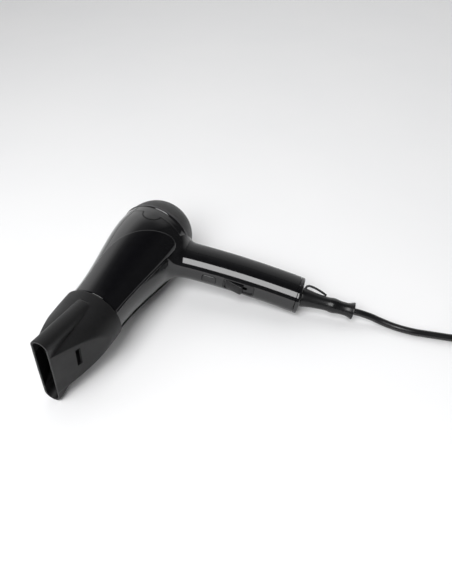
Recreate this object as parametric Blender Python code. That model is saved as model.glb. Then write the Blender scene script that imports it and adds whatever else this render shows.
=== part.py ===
"""Travel hair dryer lying on its side, as an assembly of separate pieces.

The dryer is built in its own frame, in metres: the barrel's axis is Y with the air outlet at -Y, the handle
runs towards +X, and Z goes through the two side panels. The origin is the centre of the barrel's widest
section. One empty, dryer_rest, turns that frame the little that it leans when it lies on a table, and puts
the centre of its base at the world origin. The cord lies on the table, in world coordinates.
"""
import math

import bmesh
import bpy
from mathutils import Matrix, Vector

# Barrel
BARREL_RADIUS = 0.035
FRONT_RADIUS = 0.0236
TAPER_LENGTH = 0.097
TAPER_POWER = 0.85
DOME_LENGTH = 0.0470
DOME_POWER = 2.7
FRONT_END = -0.103
WALL = 0.002
GAP = 0.0003
SIDES = 40

# Rear cover
COVER_SEAM = 0.0056
GRILLE_RIM = 0.0145
TAB_RADIUS = 0.008

# Handle, along its own frame: x along the handle, y towards its back, z through its sides
HANDLE_ANGLE = math.radians(6.27)
HANDLE_ROOT_Y = -0.0068
HANDLE_LENGTH = 0.150
HANDLE_START = 0.010
HANDLE_CAP_X = 0.1463
HALF_DEPTH_ROOT = 0.0176
HALF_DEPTH_END = 0.0164
HALF_THICKNESS = 0.0147
HANDLE_BOW = 0.0041
NECK_FLARE = 0.0056
NECK_LENGTH = 0.040
SECTION_POWER = 2.4
HANDLE_SIDES = 24
SEAM_OFFSET = -0.0035

# Nozzle
COLLAR_BACK = -0.0938
COLLAR_FRONT = -0.1046
COLLAR_RADIUS = 0.0261
NOZZLE_END = -0.1572
NOZZLE_WALL = 0.0018
OUTLET_HALF_X = 0.0072
OUTLET_HALF_Z = 0.0385
CONE_SLOPE = 0.025
FACE_SLOPE = 0.40
FIN_SLOPE = 0.205
FIN_CROWDING = 2.4
VENT_LOW = Vector((-0.030, -0.1390, -0.0050))
VENT_HIGH = Vector((0.030, -0.1350, 0.0150))

# Side panels
PANEL_LIFT = 0.0005
PANEL_THICKNESS = 0.0009
PANEL_BACK = -0.0045
PANEL_FRONT = -0.0915
PANEL_LOW_ANGLE = math.radians(27.5)
PANEL_BACK_ANGLE = math.radians(46.0)
PANEL_TOP_ANGLE = math.radians(129.0)
PANEL_RISE_LENGTH = 0.060
PANEL_RISE_POWER = 0.78

# Controls, at their places along the handle
TRAY_START = 0.0800
TRAY_END = 0.1085
TRAY_HALF_WIDTH = 0.0063
BUTTON_START = 0.0600
BUTTON_END = 0.0728
BUTTON_HALF_WIDTH = 0.0039

# Motor and fan
FAN_RADIUS = 0.0283
GUIDE_BORE = 0.0289
MOTOR_RADIUS = 0.0138
MOTOR_SCREW_CIRCLE = 0.0080
SHAFT_RADIUS = 0.00115
SHAFT_HOLE = 0.00130
BLADES = 7
VANES = 6

# Heater
LINER_RADIUS = 0.0210
BOARD_HALF_WIDTH = 0.0168
BOARD_THICKNESS = 0.0008
COIL_WIRE_RADIUS = 0.00055
COIL_WINDING_RADIUS = 0.0178

# Strain relief and cord
BOOT_YAW = math.radians(-0.5)
BOOT_LIFT = math.radians(2.0)
BOOT_BASE = Vector((0.1508, -0.0010, 0.0002))
BOOT_LENGTH = 0.0475
CORD_RADIUS = 0.0031
CORD_POINTS = 30
COIL_TURNS_ACROSS = 4
COIL_LAYERS = 2
COIL_MEAN_RADIUS = 0.034
COIL_CENTRE = Vector((0.2495, 0.1244, 0.0008))
TIE_THICKNESS = 0.0004
TIE_WIDTH = 0.0040
TIE_ANGLE = math.radians(115.0)
PLUG_BASE = Vector((0.3090, 0.1113, 0.0078))
PLUG_HALF_WIDTH = 0.0120
PLUG_HALF_HEIGHT = 0.0075
PIN_RADIUS = 0.0020
PIN_SPACING = 0.0190
PIN_LENGTH = 0.0190

# How the dryer lies: on its lower side panel, the nozzle's lower corner and the handle's end
LEAN_SIDE = math.radians(7.80)
LEAN_FRONT = math.radians(-1.13)
REST_POSITION = Vector((-0.0809, 0.0555, 0.03513))


def clear_scene():
    for item in list(bpy.data.objects):
        bpy.data.objects.remove(item, do_unlink=True)


def material(name, colour, roughness, metallic=0.0):
    """A Principled material with one colour and finish."""
    made = bpy.data.materials.new(name)
    made.use_nodes = True
    shader = made.node_tree.nodes["Principled BSDF"]
    shader.inputs["Base Color"].default_value = (*colour, 1.0)
    shader.inputs["Roughness"].default_value = roughness
    shader.inputs["Metallic"].default_value = metallic
    made.diffuse_color = (*colour, 1.0)
    return made


def make_materials():
    return {
        "gloss_black": material("gloss_black", (0.010, 0.010, 0.012), 0.12),
        "satin_black": material("satin_black", (0.016, 0.016, 0.018), 0.32),
        "matte_black": material("matte_black", (0.030, 0.030, 0.032), 0.55),
        "black_rubber": material("black_rubber", (0.012, 0.012, 0.013), 0.40),
        "mica": material("mica", (0.55, 0.47, 0.33), 0.45),
        "nichrome": material("nichrome", (0.35, 0.33, 0.31), 0.35, 1.0),
        "steel": material("steel", (0.62, 0.62, 0.64), 0.30, 1.0),
        "magnet": material("magnet", (0.08, 0.08, 0.085), 0.60),
        "circuit_board": material("circuit_board", (0.05, 0.22, 0.09), 0.45),
        "white_nylon": material("white_nylon", (0.75, 0.74, 0.70), 0.45),
        "yellow_film": material("yellow_film", (0.72, 0.55, 0.12), 0.35),
        "brown_lead": material("brown_lead", (0.20, 0.08, 0.03), 0.45),
        "blue_lead": material("blue_lead", (0.03, 0.12, 0.45), 0.45),
        "nickel": material("nickel", (0.70, 0.68, 0.64), 0.25, 1.0),
    }


# ---------------------------------------------------------------- shapes of the casing

def barrel_radius(y):
    """Outer radius of the barrel: a blunt dome behind the origin, a taper in front of it."""
    if y > 0.0:
        along = min(y / DOME_LENGTH, 1.0)
        return BARREL_RADIUS * (1.0 - along ** DOME_POWER) ** (1.0 / DOME_POWER)
    along = min(-y / TAPER_LENGTH, 1.0) ** TAPER_POWER
    return FRONT_RADIUS + (BARREL_RADIUS - FRONT_RADIUS) * 0.5 * (1.0 + math.cos(math.pi * along))


def handle_bow(x):
    along = x / HANDLE_LENGTH
    return HANDLE_BOW * 4.0 * along * (1.0 - along)


def neck_flare(x):
    return NECK_FLARE * max(0.0, 1.0 - (x - HANDLE_START) / NECK_LENGTH) ** 2


def handle_section(x, inset):
    """Points round the handle at x in the handle's frame, inset from its outer surface."""
    depth = HALF_DEPTH_ROOT + (HALF_DEPTH_END - HALF_DEPTH_ROOT) * x / HANDLE_LENGTH + neck_flare(x) - inset
    thickness = HALF_THICKNESS + 0.6 * neck_flare(x) - inset
    points = []
    for index in range(HANDLE_SIDES):
        angle = 2.0 * math.pi * index / HANDLE_SIDES
        reach = (abs(math.cos(angle)) ** SECTION_POWER + abs(math.sin(angle)) ** SECTION_POWER)
        reach = reach ** (-1.0 / SECTION_POWER)
        y = handle_bow(x) - depth * reach * math.cos(angle)
        points.append(Vector((x, y, thickness * reach * math.sin(angle))))
    return points


def handle_matrix():
    """The handle's frame in the dryer's frame."""
    return Matrix.Translation((0.0, HANDLE_ROOT_Y, 0.0)) @ Matrix.Rotation(HANDLE_ANGLE, 4, "Z")


def boot_matrix():
    """The strain relief's frame: x along it, from its base on the handle's end cap."""
    turn = Matrix.Rotation(BOOT_YAW, 4, "Z") @ Matrix.Rotation(-BOOT_LIFT, 4, "Y")
    return handle_matrix() @ Matrix.Translation(BOOT_BASE) @ turn


def rest_matrix():
    """The dryer's frame in the world, as it lies on the table."""
    turn = Matrix.Rotation(LEAN_SIDE, 4, "Y") @ Matrix.Rotation(LEAN_FRONT, 4, "X")
    return Matrix.Translation(REST_POSITION) @ turn


def stadium_reach(angle, half_x, half_z):
    """Distance from the centre to the edge of a slot with round ends, long in z."""
    across = abs(math.cos(angle))
    up = abs(math.sin(angle))
    if across * half_z > up * half_x and half_x / across * up <= half_z - half_x:
        return half_x / across
    straight = half_z - half_x
    return straight * up + math.sqrt(max(half_x ** 2 - (straight * across) ** 2, 0.0))


def nozzle_section(y, inset, sides):
    """The nozzle round its axis at y: a cone cut by two flat faces, with a fan duct through it."""
    ahead = COLLAR_FRONT - y
    cone = COLLAR_RADIUS - CONE_SLOPE * max(ahead, 0.0) - inset
    face = OUTLET_HALF_X + FACE_SLOPE * (y - NOZZLE_END) - inset
    fin = OUTLET_HALF_Z - FIN_SLOPE * (y - NOZZLE_END) - inset
    points = []
    for index in range(sides):
        turn = 2.0 * math.pi * index / sides
        angle = math.atan2(FIN_CROWDING * math.sin(turn), math.cos(turn))
        cut_cone = min(cone, face / max(abs(math.cos(angle)), 1e-6))
        reach = max(cut_cone, stadium_reach(angle, OUTLET_HALF_X - inset, fin))
        points.append(Vector((reach * math.cos(angle), y, reach * math.sin(angle))))
    return points


def panel_angles(y):
    """Lower and upper edge of a side panel at y, as angles round the barrel."""
    along = min((PANEL_BACK - y) / PANEL_RISE_LENGTH, 1.0)
    rise = math.sin(0.5 * math.pi * along ** PANEL_RISE_POWER)
    corner = math.radians(9.0) * max(0.0, 1.0 - (PANEL_BACK - y) / 0.006) ** 2
    upper = PANEL_BACK_ANGLE + (PANEL_TOP_ANGLE - PANEL_BACK_ANGLE) * rise
    return PANEL_LOW_ANGLE + corner, upper


# ---------------------------------------------------------------- building blocks

def mesh_object(name, bm, place=None):
    """Turn a bmesh into an object with its faces facing out."""
    if place is not None:
        bmesh.ops.transform(bm, matrix=place, verts=bm.verts)
    bmesh.ops.recalc_face_normals(bm, faces=bm.faces)
    mesh = bpy.data.meshes.new(name)
    bm.to_mesh(mesh)
    bm.free()
    made = bpy.data.objects.new(name, mesh)
    bpy.context.collection.objects.link(made)
    return made


def loft(name, sections, place=None):
    """A solid through sections of equal point counts, closed by a face at each end."""
    bm = bmesh.new()
    rings = [[bm.verts.new(point) for point in section] for section in sections]
    count = len(rings[0])
    for first, second in zip(rings, rings[1:]):
        for index in range(count):
            after = (index + 1) % count
            bm.faces.new((first[index], first[after], second[after], second[index]))
    bm.faces.new(rings[0])
    bm.faces.new(rings[-1])
    return mesh_object(name, bm, place)


def turned(name, profile, sides=SIDES, place=None):
    """A solid turned about Y from a closed profile of (y, radius) points; radius 0 lies on the axis."""
    bm = bmesh.new()
    rings = []
    for y, radius in profile:
        if radius <= 0.0:
            rings.append([bm.verts.new((0.0, y, 0.0))])
            continue
        turn = [2.0 * math.pi * index / sides for index in range(sides)]
        rings.append([bm.verts.new((radius * math.cos(a), y, radius * math.sin(a))) for a in turn])
    for first, second in zip(rings, rings[1:] + rings[:1]):
        if len(first) == 1 and len(second) == 1:
            continue
        for index in range(sides):
            after = (index + 1) % sides
            corners = [first[index % len(first)], first[after % len(first)],
                       second[after % len(second)], second[index % len(second)]]
            unique = [corner for place_, corner in enumerate(corners) if corner not in corners[:place_]]
            bm.faces.new(unique)
    return mesh_object(name, bm, place)


def rod(name, start, end, radius, sides=16, place=None):
    """A round rod from start to end."""
    start = Vector(start)
    along = Vector(end) - start
    turn = Vector((0.0, 1.0, 0.0)).rotation_difference(along).to_matrix().to_4x4()
    own = Matrix.Translation(start) @ turn
    whole = own if place is None else place @ own
    return turned(name, [(0.0, 0.0), (0.0, radius), (along.length, radius), (along.length, 0.0)], sides, whole)


def block(name, low, high, place=None):
    """A box between two corners."""
    bm = bmesh.new()
    bmesh.ops.create_cube(bm, size=1.0)
    low = Vector(low)
    high = Vector(high)
    for vertex in bm.verts:
        vertex.co = low + Vector([(high[i] - low[i]) * (vertex.co[i] + 0.5) for i in range(3)])
    return mesh_object(name, bm, place)


def round_block(name, low, high, radius, segments=2, place=None):
    """A box with rounded edges."""
    made = block(name, low, high)
    bm = bmesh.new()
    bm.from_mesh(made.data)
    bpy.data.objects.remove(made, do_unlink=True)
    bmesh.ops.bevel(bm, geom=bm.edges[:], offset=radius, segments=segments, profile=0.5, affect="EDGES")
    return mesh_object(name, bm, place)


def wire(name, points, radius, resolution=2, place=None):
    """A round wire or tube through points, with closed ends."""
    curve = bpy.data.curves.new(name, "CURVE")
    curve.dimensions = "3D"
    curve.bevel_depth = radius
    curve.bevel_resolution = resolution
    curve.use_fill_caps = True
    spline = curve.splines.new("POLY")
    spline.points.add(len(points) - 1)
    for target, point in zip(spline.points, points):
        placed = Vector(point) if place is None else place @ Vector(point)
        target.co = (*placed, 1.0)
    made = bpy.data.objects.new(name, curve)
    bpy.context.collection.objects.link(made)
    return made


def smooth_route(route, count):
    """Evenly spaced points on a smooth curve through the route's own points."""
    points = [Vector(point) for point in route]
    points = [points[0] * 2.0 - points[1]] + points + [points[-1] * 2.0 - points[-2]]
    dense = []
    for a, b, c, d in zip(points, points[1:], points[2:], points[3:]):
        for step in range(24):
            t = step / 24.0
            dense.append(0.5 * (2.0 * b + (c - a) * t + (2.0 * a - 5.0 * b + 4.0 * c - d) * t * t
                                + (3.0 * b - 3.0 * c + d - a) * t ** 3))
    dense.append(points[-2])
    lengths = [0.0]
    for first, second in zip(dense, dense[1:]):
        lengths.append(lengths[-1] + (second - first).length)
    chosen = []
    at = 0
    for index in range(count):
        target = lengths[-1] * index / (count - 1)
        while at < len(lengths) - 2 and lengths[at + 1] < target:
            at += 1
        share = (target - lengths[at]) / max(lengths[at + 1] - lengths[at], 1e-9)
        chosen.append(dense[at].lerp(dense[at + 1], min(share, 1.0)))
    return chosen


def combine(target, tool, operation):
    """Apply an exact boolean with tool and discard tool."""
    modifier = target.modifiers.new("combine", "BOOLEAN")
    modifier.operation = operation
    modifier.solver = "EXACT"
    modifier.object = tool
    bpy.context.view_layer.update()
    evaluated = target.evaluated_get(bpy.context.evaluated_depsgraph_get())
    mesh = bpy.data.meshes.new_from_object(evaluated)
    target.modifiers.clear()
    target.data = mesh
    bpy.data.objects.remove(tool, do_unlink=True)
    return target


def cut(target, *tools):
    for tool in tools:
        combine(target, tool, "DIFFERENCE")
    return target


def join(target, *tools):
    for tool in tools:
        combine(target, tool, "UNION")
    return target


def keep(target, tool):
    return combine(target, tool, "INTERSECT")


def finish(made, finish_material, parent, flat=False):
    """Give a piece its material, its parent and smooth shading on its round faces."""
    made.data.materials.clear()
    made.data.materials.append(finish_material)
    if made.type == "MESH" and not flat:
        made.data.shade_smooth()
        made.data.set_sharp_from_angle(angle=math.radians(35.0))
    made.parent = parent
    return made


def empty(name, matrix=None, parent=None):
    made = bpy.data.objects.new(name, None)
    made.empty_display_size = 0.01
    bpy.context.collection.objects.link(made)
    made.parent = parent
    if matrix is not None:
        made.matrix_local = matrix
    return made


# ---------------------------------------------------------------- casing

def barrel_profile(back, front, inset, steps):
    return [(y, barrel_radius(y) - inset) for y in
            (back + (front - back) * step / steps for step in range(steps + 1))]


def handle_solid(name, start, end, inset, steps):
    sections = [handle_section(start + (end - start) * step / steps, inset) for step in range(steps + 1)]
    return loft(name, sections, handle_matrix())


def seam_block(name, shift, forward):
    """All that lies in front of, or behind, the seam along the handle's sides."""
    seam = SEAM_OFFSET + shift
    low_y, high_y = (-0.2, seam) if forward else (seam, 0.2)
    points = []
    for x in (-0.05, 0.0, 0.03, 0.06, 0.09, 0.12, 0.15, 0.20):
        bow = handle_bow(min(max(x, 0.0), HANDLE_LENGTH))
        near = (low_y if forward else low_y + bow)
        far = (high_y + bow if forward else high_y)
        points.append([Vector((x, near, -0.1)), Vector((x, far, -0.1)),
                       Vector((x, far, 0.1)), Vector((x, near, 0.1))])
    return loft(name, points, handle_matrix())


def tab_rod(name, radius):
    return rod(name, (0.0, COVER_SEAM, -0.06), (0.0, COVER_SEAM, 0.06), radius, 32)


def make_body_shell(parts, mats):
    barrel = barrel_profile(COVER_SEAM - GAP, 0.0, 0.0, 1) + barrel_profile(-0.010, -0.096, 0.0, 9)
    shell = turned("body_shell", [(COVER_SEAM - GAP, 0.0)] + barrel
                   + [(FRONT_END, FRONT_RADIUS), (FRONT_END, 0.0)])
    grip = handle_solid("grip", HANDLE_START, HANDLE_CAP_X - GAP, 0.0, 9)
    keep(grip, seam_block("front_side", 0.0, True))
    join(shell, grip)
    bore = [(0.02, 0.0), (0.02, BARREL_RADIUS - WALL), (0.0, BARREL_RADIUS - WALL)]
    bore += barrel_profile(-0.012, -0.096, WALL, 6) + [(-0.12, FRONT_RADIUS - WALL), (-0.12, 0.0)]
    cut(shell, turned("bore", bore))
    cut(shell, handle_solid("grip_bore", 0.022, 0.16, WALL, 7))
    cut(shell, tab_rod("tab_notch", TAB_RADIUS + GAP))
    behind = block("behind", (-0.1, COVER_SEAM - GAP, -0.1), (0.1, 0.1, 0.1))
    cut(shell, behind)
    tray = block("tray_window", (TRAY_START - GAP, -0.03, -TRAY_HALF_WIDTH - GAP),
                 (TRAY_END + GAP, -0.0092, TRAY_HALF_WIDTH + GAP), handle_matrix())
    button = block("button_window", (BUTTON_START - GAP, -0.03, -BUTTON_HALF_WIDTH - GAP),
                   (BUTTON_END + GAP, -0.0080, BUTTON_HALF_WIDTH + GAP), handle_matrix())
    cut(shell, tray, button)
    return finish(shell, mats["gloss_black"], parts)


def make_back_cover(parts, mats):
    cover = handle_solid("handle_back_cover", 0.030, HANDLE_CAP_X - GAP, 0.0, 8)
    keep(cover, seam_block("back_side", GAP, False))
    cut(cover, handle_solid("cover_bore", 0.021, 0.16, WALL, 8))
    cut(cover, rod("barrel_space", (0.0, -0.1, 0.0), (0.0, 0.1, 0.0), BARREL_RADIUS + 0.0005, SIDES))
    return finish(cover, mats["satin_black"], parts)


def make_end_cap(parts, mats):
    cap = handle_solid("handle_end_cap", HANDLE_CAP_X, HANDLE_LENGTH, 0.0, 1)
    hole = rod("boot_hole", (-0.02, 0.0, 0.0), (0.02, 0.0, 0.0), 0.0060, 20, boot_matrix())
    cut(cap, hole)
    return finish(cap, mats["satin_black"], parts)


def make_side_panel(parts, mats, name, side):
    """A teardrop panel that stands a little proud of the barrel; side is 1 up and -1 down."""
    columns = 13
    rows = 9
    bm = bmesh.new()
    layers = []
    for lift in (PANEL_LIFT, PANEL_LIFT + PANEL_THICKNESS):
        grid = []
        for column in range(columns):
            share = (column / (columns - 1)) ** 1.5
            y = PANEL_BACK + (PANEL_FRONT - PANEL_BACK) * share
            low, high = panel_angles(y)
            radius = barrel_radius(y) + lift
            row_points = []
            for row in range(rows):
                angle = low + (high - low) * row / (rows - 1)
                point = (radius * math.cos(angle), y, side * radius * math.sin(angle))
                row_points.append(bm.verts.new(point))
            grid.append(row_points)
        layers.append(grid)
    inner, outer = layers
    for grid in layers:
        for column in range(columns - 1):
            for row in range(rows - 1):
                bm.faces.new((grid[column][row], grid[column + 1][row],
                              grid[column + 1][row + 1], grid[column][row + 1]))
    for column in range(columns - 1):
        for row in (0, rows - 1):
            bm.faces.new((inner[column][row], inner[column + 1][row],
                          outer[column + 1][row], outer[column][row]))
    for row in range(rows - 1):
        for column in (0, columns - 1):
            bm.faces.new((inner[column][row], inner[column][row + 1],
                          outer[column][row + 1], outer[column][row]))
    return finish(mesh_object(name, bm), mats["gloss_black"], parts)


# ---------------------------------------------------------------- rear cover

def make_rear_cover(parent, mats):
    spigot_front = 0.001
    step_back = 0.0088
    outer = [(y, barrel_radius(y)) for y in (COVER_SEAM, 0.0100, GRILLE_RIM)]
    inner = [(GRILLE_RIM, 0.0325), (step_back, 0.0325), (step_back, 0.0314), (spigot_front, 0.0314),
             (spigot_front, 0.0327), (COVER_SEAM, 0.0327)]
    ring = turned("rear_cover_ring", outer + inner)
    sheet = [(y, barrel_radius(y)) for y in (-0.006, 0.0, 0.007)]
    tabs = turned("tabs", sheet + [(y, radius - WALL) for y, radius in reversed(sheet)])
    keep(tabs, tab_rod("tab_edge", TAB_RADIUS))
    join(ring, tabs)
    finish(ring, mats["gloss_black"], parent)

    skin = [(y, barrel_radius(y)) for y in (GRILLE_RIM + GAP, 0.0235, 0.031, 0.0375, 0.0425, 0.0457)]
    skin.append((DOME_LENGTH, 0.0))
    thickness = 0.0014
    under = [(DOME_LENGTH - thickness, 0.0)]
    under += [(y - thickness * y / DOME_LENGTH, barrel_radius(y) - thickness) for y in (0.0442, 0.0380, 0.0275)]
    collar = [(0.0165, 0.0307), (0.0109, 0.0307), (0.0109, 0.0322), (GRILLE_RIM + GAP, 0.0322)]
    finish(turned("rear_grille", skin + under + collar), mats["matte_black"], parent)

    screen = turned("filter_screen", [(0.0091, 0.0300), (0.0106, 0.0300), (0.0106, 0.0320), (0.0091, 0.0320)], 24)
    bar = 0.0006
    for offset in (-0.0155, 0.0, 0.0155):
        half = math.sqrt(0.0310 ** 2 - offset ** 2)
        across = block("bar_x", (-half, 0.0094, offset - bar), (half, 0.0103, offset + bar))
        upright = block("bar_z", (offset - bar, 0.0094, -half), (offset + bar, 0.0103, half))
        join(screen, across, upright)
    finish(screen, mats["matte_black"], parent)


# ---------------------------------------------------------------- nozzle and air outlet

def make_nozzle(parent, mats):
    sides = 40
    stations = (COLLAR_FRONT, -0.110, -0.117, -0.126, -0.138, NOZZLE_END)
    outer = [nozzle_section(y, 0.0, sides) for y in stations]
    ring = [2.0 * math.pi * index / sides for index in range(sides)]
    collar = [Vector((COLLAR_RADIUS * math.cos(a), COLLAR_BACK, COLLAR_RADIUS * math.sin(a))) for a in ring]
    nozzle = loft("nozzle", [collar] + outer)
    inside = [nozzle_section(y, NOZZLE_WALL, sides) for y in (-0.1046, -0.117, -0.130, -0.143, -0.155)]
    inside.append([Vector((point.x, NOZZLE_END - 0.005, point.z)) for point in inside[-1]])
    cut(nozzle, loft("duct", inside))
    cut(nozzle, rod("socket", (0.0, -0.0900, 0.0), (0.0, FRONT_END - 0.0005, 0.0), 0.0240, SIDES))
    cut(nozzle, rod("throat", (0.0, -0.1000, 0.0), (0.0, -0.1060, 0.0), 0.0225, SIDES))
    cut(nozzle, block("vents", VENT_LOW, VENT_HIGH))
    return finish(nozzle, mats["matte_black"], parent)


def make_outlet_grille(parts, mats):
    back = -0.0985
    front = -0.1010
    sides = 24
    grille = turned("outlet_grille", [(back, 0.0197), (back, 0.0212), (front, 0.0212), (front, 0.0197)], sides)
    for turn in range(3):
        spin = Matrix.Rotation(math.radians(60.0 * turn + 17.0), 4, "Y")
        join(grille, block("bar", (-0.0203, front + 0.0002, -0.0006), (0.0203, back - 0.0002, 0.0006), spin))
    join(grille, turned("ring", [(back, 0.0104), (back, 0.0116), (front, 0.0116), (front, 0.0104)], sides))
    return finish(grille, mats["matte_black"], parts)


# ---------------------------------------------------------------- heater

def make_heater(parts, mats):
    liner = [(-0.0570, LINER_RADIUS - 0.0005), (-0.0570, LINER_RADIUS), (-0.0965, LINER_RADIUS),
             (-0.0965, LINER_RADIUS - 0.0005)]
    finish(turned("mica_liner", liner, 32), mats["mica"], parts)
    back = -0.0585
    front = -0.0950
    middle = 0.5 * (back + front)
    half = 0.5 * BOARD_THICKNESS
    slot = half + GAP
    upright = block("heater_board_upright", (-half, front, -BOARD_HALF_WIDTH), (half, back, BOARD_HALF_WIDTH))
    cut(upright, block("slot", (-0.01, front - 0.01, -slot), (0.01, middle + GAP, slot)))
    flat = block("heater_board_flat", (-BOARD_HALF_WIDTH, front, -half), (BOARD_HALF_WIDTH, back, half))
    cut(flat, block("slot", (-slot, middle - GAP, -0.01), (slot, back + 0.01, 0.01)))
    finish(upright, mats["mica"], parts, flat=True)
    finish(flat, mats["mica"], parts, flat=True)
    for name, start, end in (("heater_coil_rear", -0.0610, -0.0750), ("heater_coil_front", -0.0785, -0.0925)):
        turns = 4
        steps = turns * 14
        points = []
        for step in range(steps + 1):
            angle = 2.0 * math.pi * turns * step / steps
            y = start + (end - start) * step / steps
            points.append((COIL_WINDING_RADIUS * math.cos(angle), y, COIL_WINDING_RADIUS * math.sin(angle)))
        finish(wire(name, points, COIL_WIRE_RADIUS, 0), mats["nichrome"], parts)
    finish(round_block("thermostat", (0.0008, -0.0710, 0.0009), (0.0065, -0.0620, 0.0100), 0.0006),
           mats["steel"], parts)
    finish(rod("thermal_fuse", (-0.0040, -0.0790, 0.0040), (-0.0040, -0.0660, 0.0040), 0.0017, 12),
           mats["steel"], parts)


# ---------------------------------------------------------------- motor and fan

def motor_screw_place(side):
    """Where a motor screw stands, across the barrel's axis; side is -1 or 1."""
    angle = math.radians(17.0)
    return side * MOTOR_SCREW_CIRCLE * math.cos(angle), side * MOTOR_SCREW_CIRCLE * math.sin(angle)


def make_motor(parts, mats):
    back = -0.0180
    front = -0.0500
    bore = MOTOR_RADIUS - 0.0006
    can = turned("motor_can", [(back, 0.0015), (back, MOTOR_RADIUS), (front, MOTOR_RADIUS), (front, bore),
                               (back - 0.001, bore), (back - 0.001, 0.0015)], 32)
    for side in (-1.0, 1.0):
        x, z = motor_screw_place(side)
        cut(can, rod("screw_hole", (x, back - 0.002, z), (x, back + 0.001, z), 0.0015, 12))
    finish(can, mats["steel"], parts)
    cap_back = -0.0475
    cap = [(cap_back, 0.0015), (cap_back, bore - GAP), (front, bore - GAP), (front, 0.0015)]
    finish(turned("motor_end_cap", cap, 32), mats["white_nylon"], parts)
    magnet_radii = (0.0107, 0.0129)
    for number, start in ((1, 15.0), (2, 195.0)):
        sections = []
        for step in range(9):
            angle = math.radians(start + 150.0 * step / 8.0)
            across = [(magnet_radii[0], -0.0220), (magnet_radii[1], -0.0220),
                      (magnet_radii[1], -0.0460), (magnet_radii[0], -0.0460)]
            sections.append([Vector((r * math.cos(angle), y, r * math.sin(angle))) for r, y in across])
        finish(loft(f"motor_magnet_{number}", sections), mats["magnet"], parts)
    board = turned("rectifier_board", [(-0.0525, 0.0030), (-0.0525, 0.0120), (-0.0541, 0.0120), (-0.0541, 0.0030)], 24)
    finish(board, mats["circuit_board"], parts)
    for number, side in ((1, -1.0), (2, 1.0)):
        x, z = motor_screw_place(side)
        screw = turned(f"motor_screw_{number}", [(-0.0148, 0.0), (-0.0148, 0.0022), (-0.0159, 0.0022),
                                                (-0.0159, 0.0011), (-0.0195, 0.0011), (-0.0195, 0.0)],
                       12, Matrix.Translation((x, 0.0, z)))
        finish(screw, mats["steel"], parts)


def make_fan_guide(parts, mats):
    """The ring round the fan, the straightening vanes and the sleeve that holds the motor."""
    ring_back = 0.0
    ring_front = -0.0240
    outer = [(ring_back, 0.0326), (-0.012, barrel_radius(-0.012) - WALL - 0.0004),
             (ring_front, barrel_radius(ring_front) - WALL - 0.0004)]
    guide = turned("fan_guide", [(ring_front, GUIDE_BORE), (ring_back, GUIDE_BORE)] + outer)
    sleeve_bore = MOTOR_RADIUS + GAP
    sleeve = turned("sleeve", [(-0.0162, 0.0030), (-0.0162, sleeve_bore + 0.0011), (-0.0440, sleeve_bore + 0.0011),
                               (-0.0440, sleeve_bore), (-0.0177, sleeve_bore), (-0.0177, 0.0030)], 32)
    for side in (-1.0, 1.0):
        x, z = motor_screw_place(side)
        cut(sleeve, rod("screw_hole", (x, -0.0190, z), (x, -0.0150, z), 0.0014, 12))
    for vane in range(VANES):
        spin = Matrix.Rotation(2.0 * math.pi * vane / VANES, 4, "Y")
        lean = spin @ Matrix.Translation((0.0, -0.0195, 0.0)) @ Matrix.Rotation(math.radians(20.0), 4, "X")
        blade = block("vane", (sleeve_bore + 0.0005, -0.0030, -0.0006), (GUIDE_BORE + 0.0006, 0.0030, 0.0006), lean)
        join(sleeve, blade)
    join(guide, sleeve)
    return finish(guide, mats["matte_black"], parts)


def make_fan(parent, mats):
    hub = turned("fan", [(-0.0142, SHAFT_HOLE), (-0.0142, 0.0085), (-0.0060, 0.0085), (-0.0030, 0.0060),
                         (-0.0030, SHAFT_HOLE)], 32)
    for blade in range(BLADES):
        spin = Matrix.Rotation(2.0 * math.pi * blade / BLADES, 4, "Y")
        sections = []
        for radius, pitch, chord in ((0.0075, 62.0, 0.0105), (0.0180, 42.0, 0.0125), (FAN_RADIUS, 30.0, 0.0125)):
            lean = Matrix.Rotation(math.radians(pitch), 3, "X")
            corners = [(-0.0004, -0.5), (0.0004, -0.5), (0.0004, 0.5), (-0.0004, 0.5)]
            ring = [lean @ Vector((0.0, thick, span * chord)) for thick, span in corners]
            reach = [math.sqrt(radius ** 2 - point.z ** 2) for point in ring]
            sections.append([Vector((x, point.y - 0.0098, point.z)) for x, point in zip(reach, ring)])
        join(hub, loft("blade", sections, spin))
    finish(hub, mats["matte_black"], parent)
    rotor = turned("motor_rotor", [(-0.0230, SHAFT_HOLE), (-0.0230, 0.0102), (-0.0430, 0.0102),
                                   (-0.0430, SHAFT_HOLE)], 24)
    finish(rotor, mats["steel"], parent)
    finish(rod("motor_shaft", (0.0, -0.0505, 0.0), (0.0, -0.0020, 0.0), SHAFT_RADIUS, 32), mats["steel"], parent)


# ---------------------------------------------------------------- handle: controls and wiring

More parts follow.
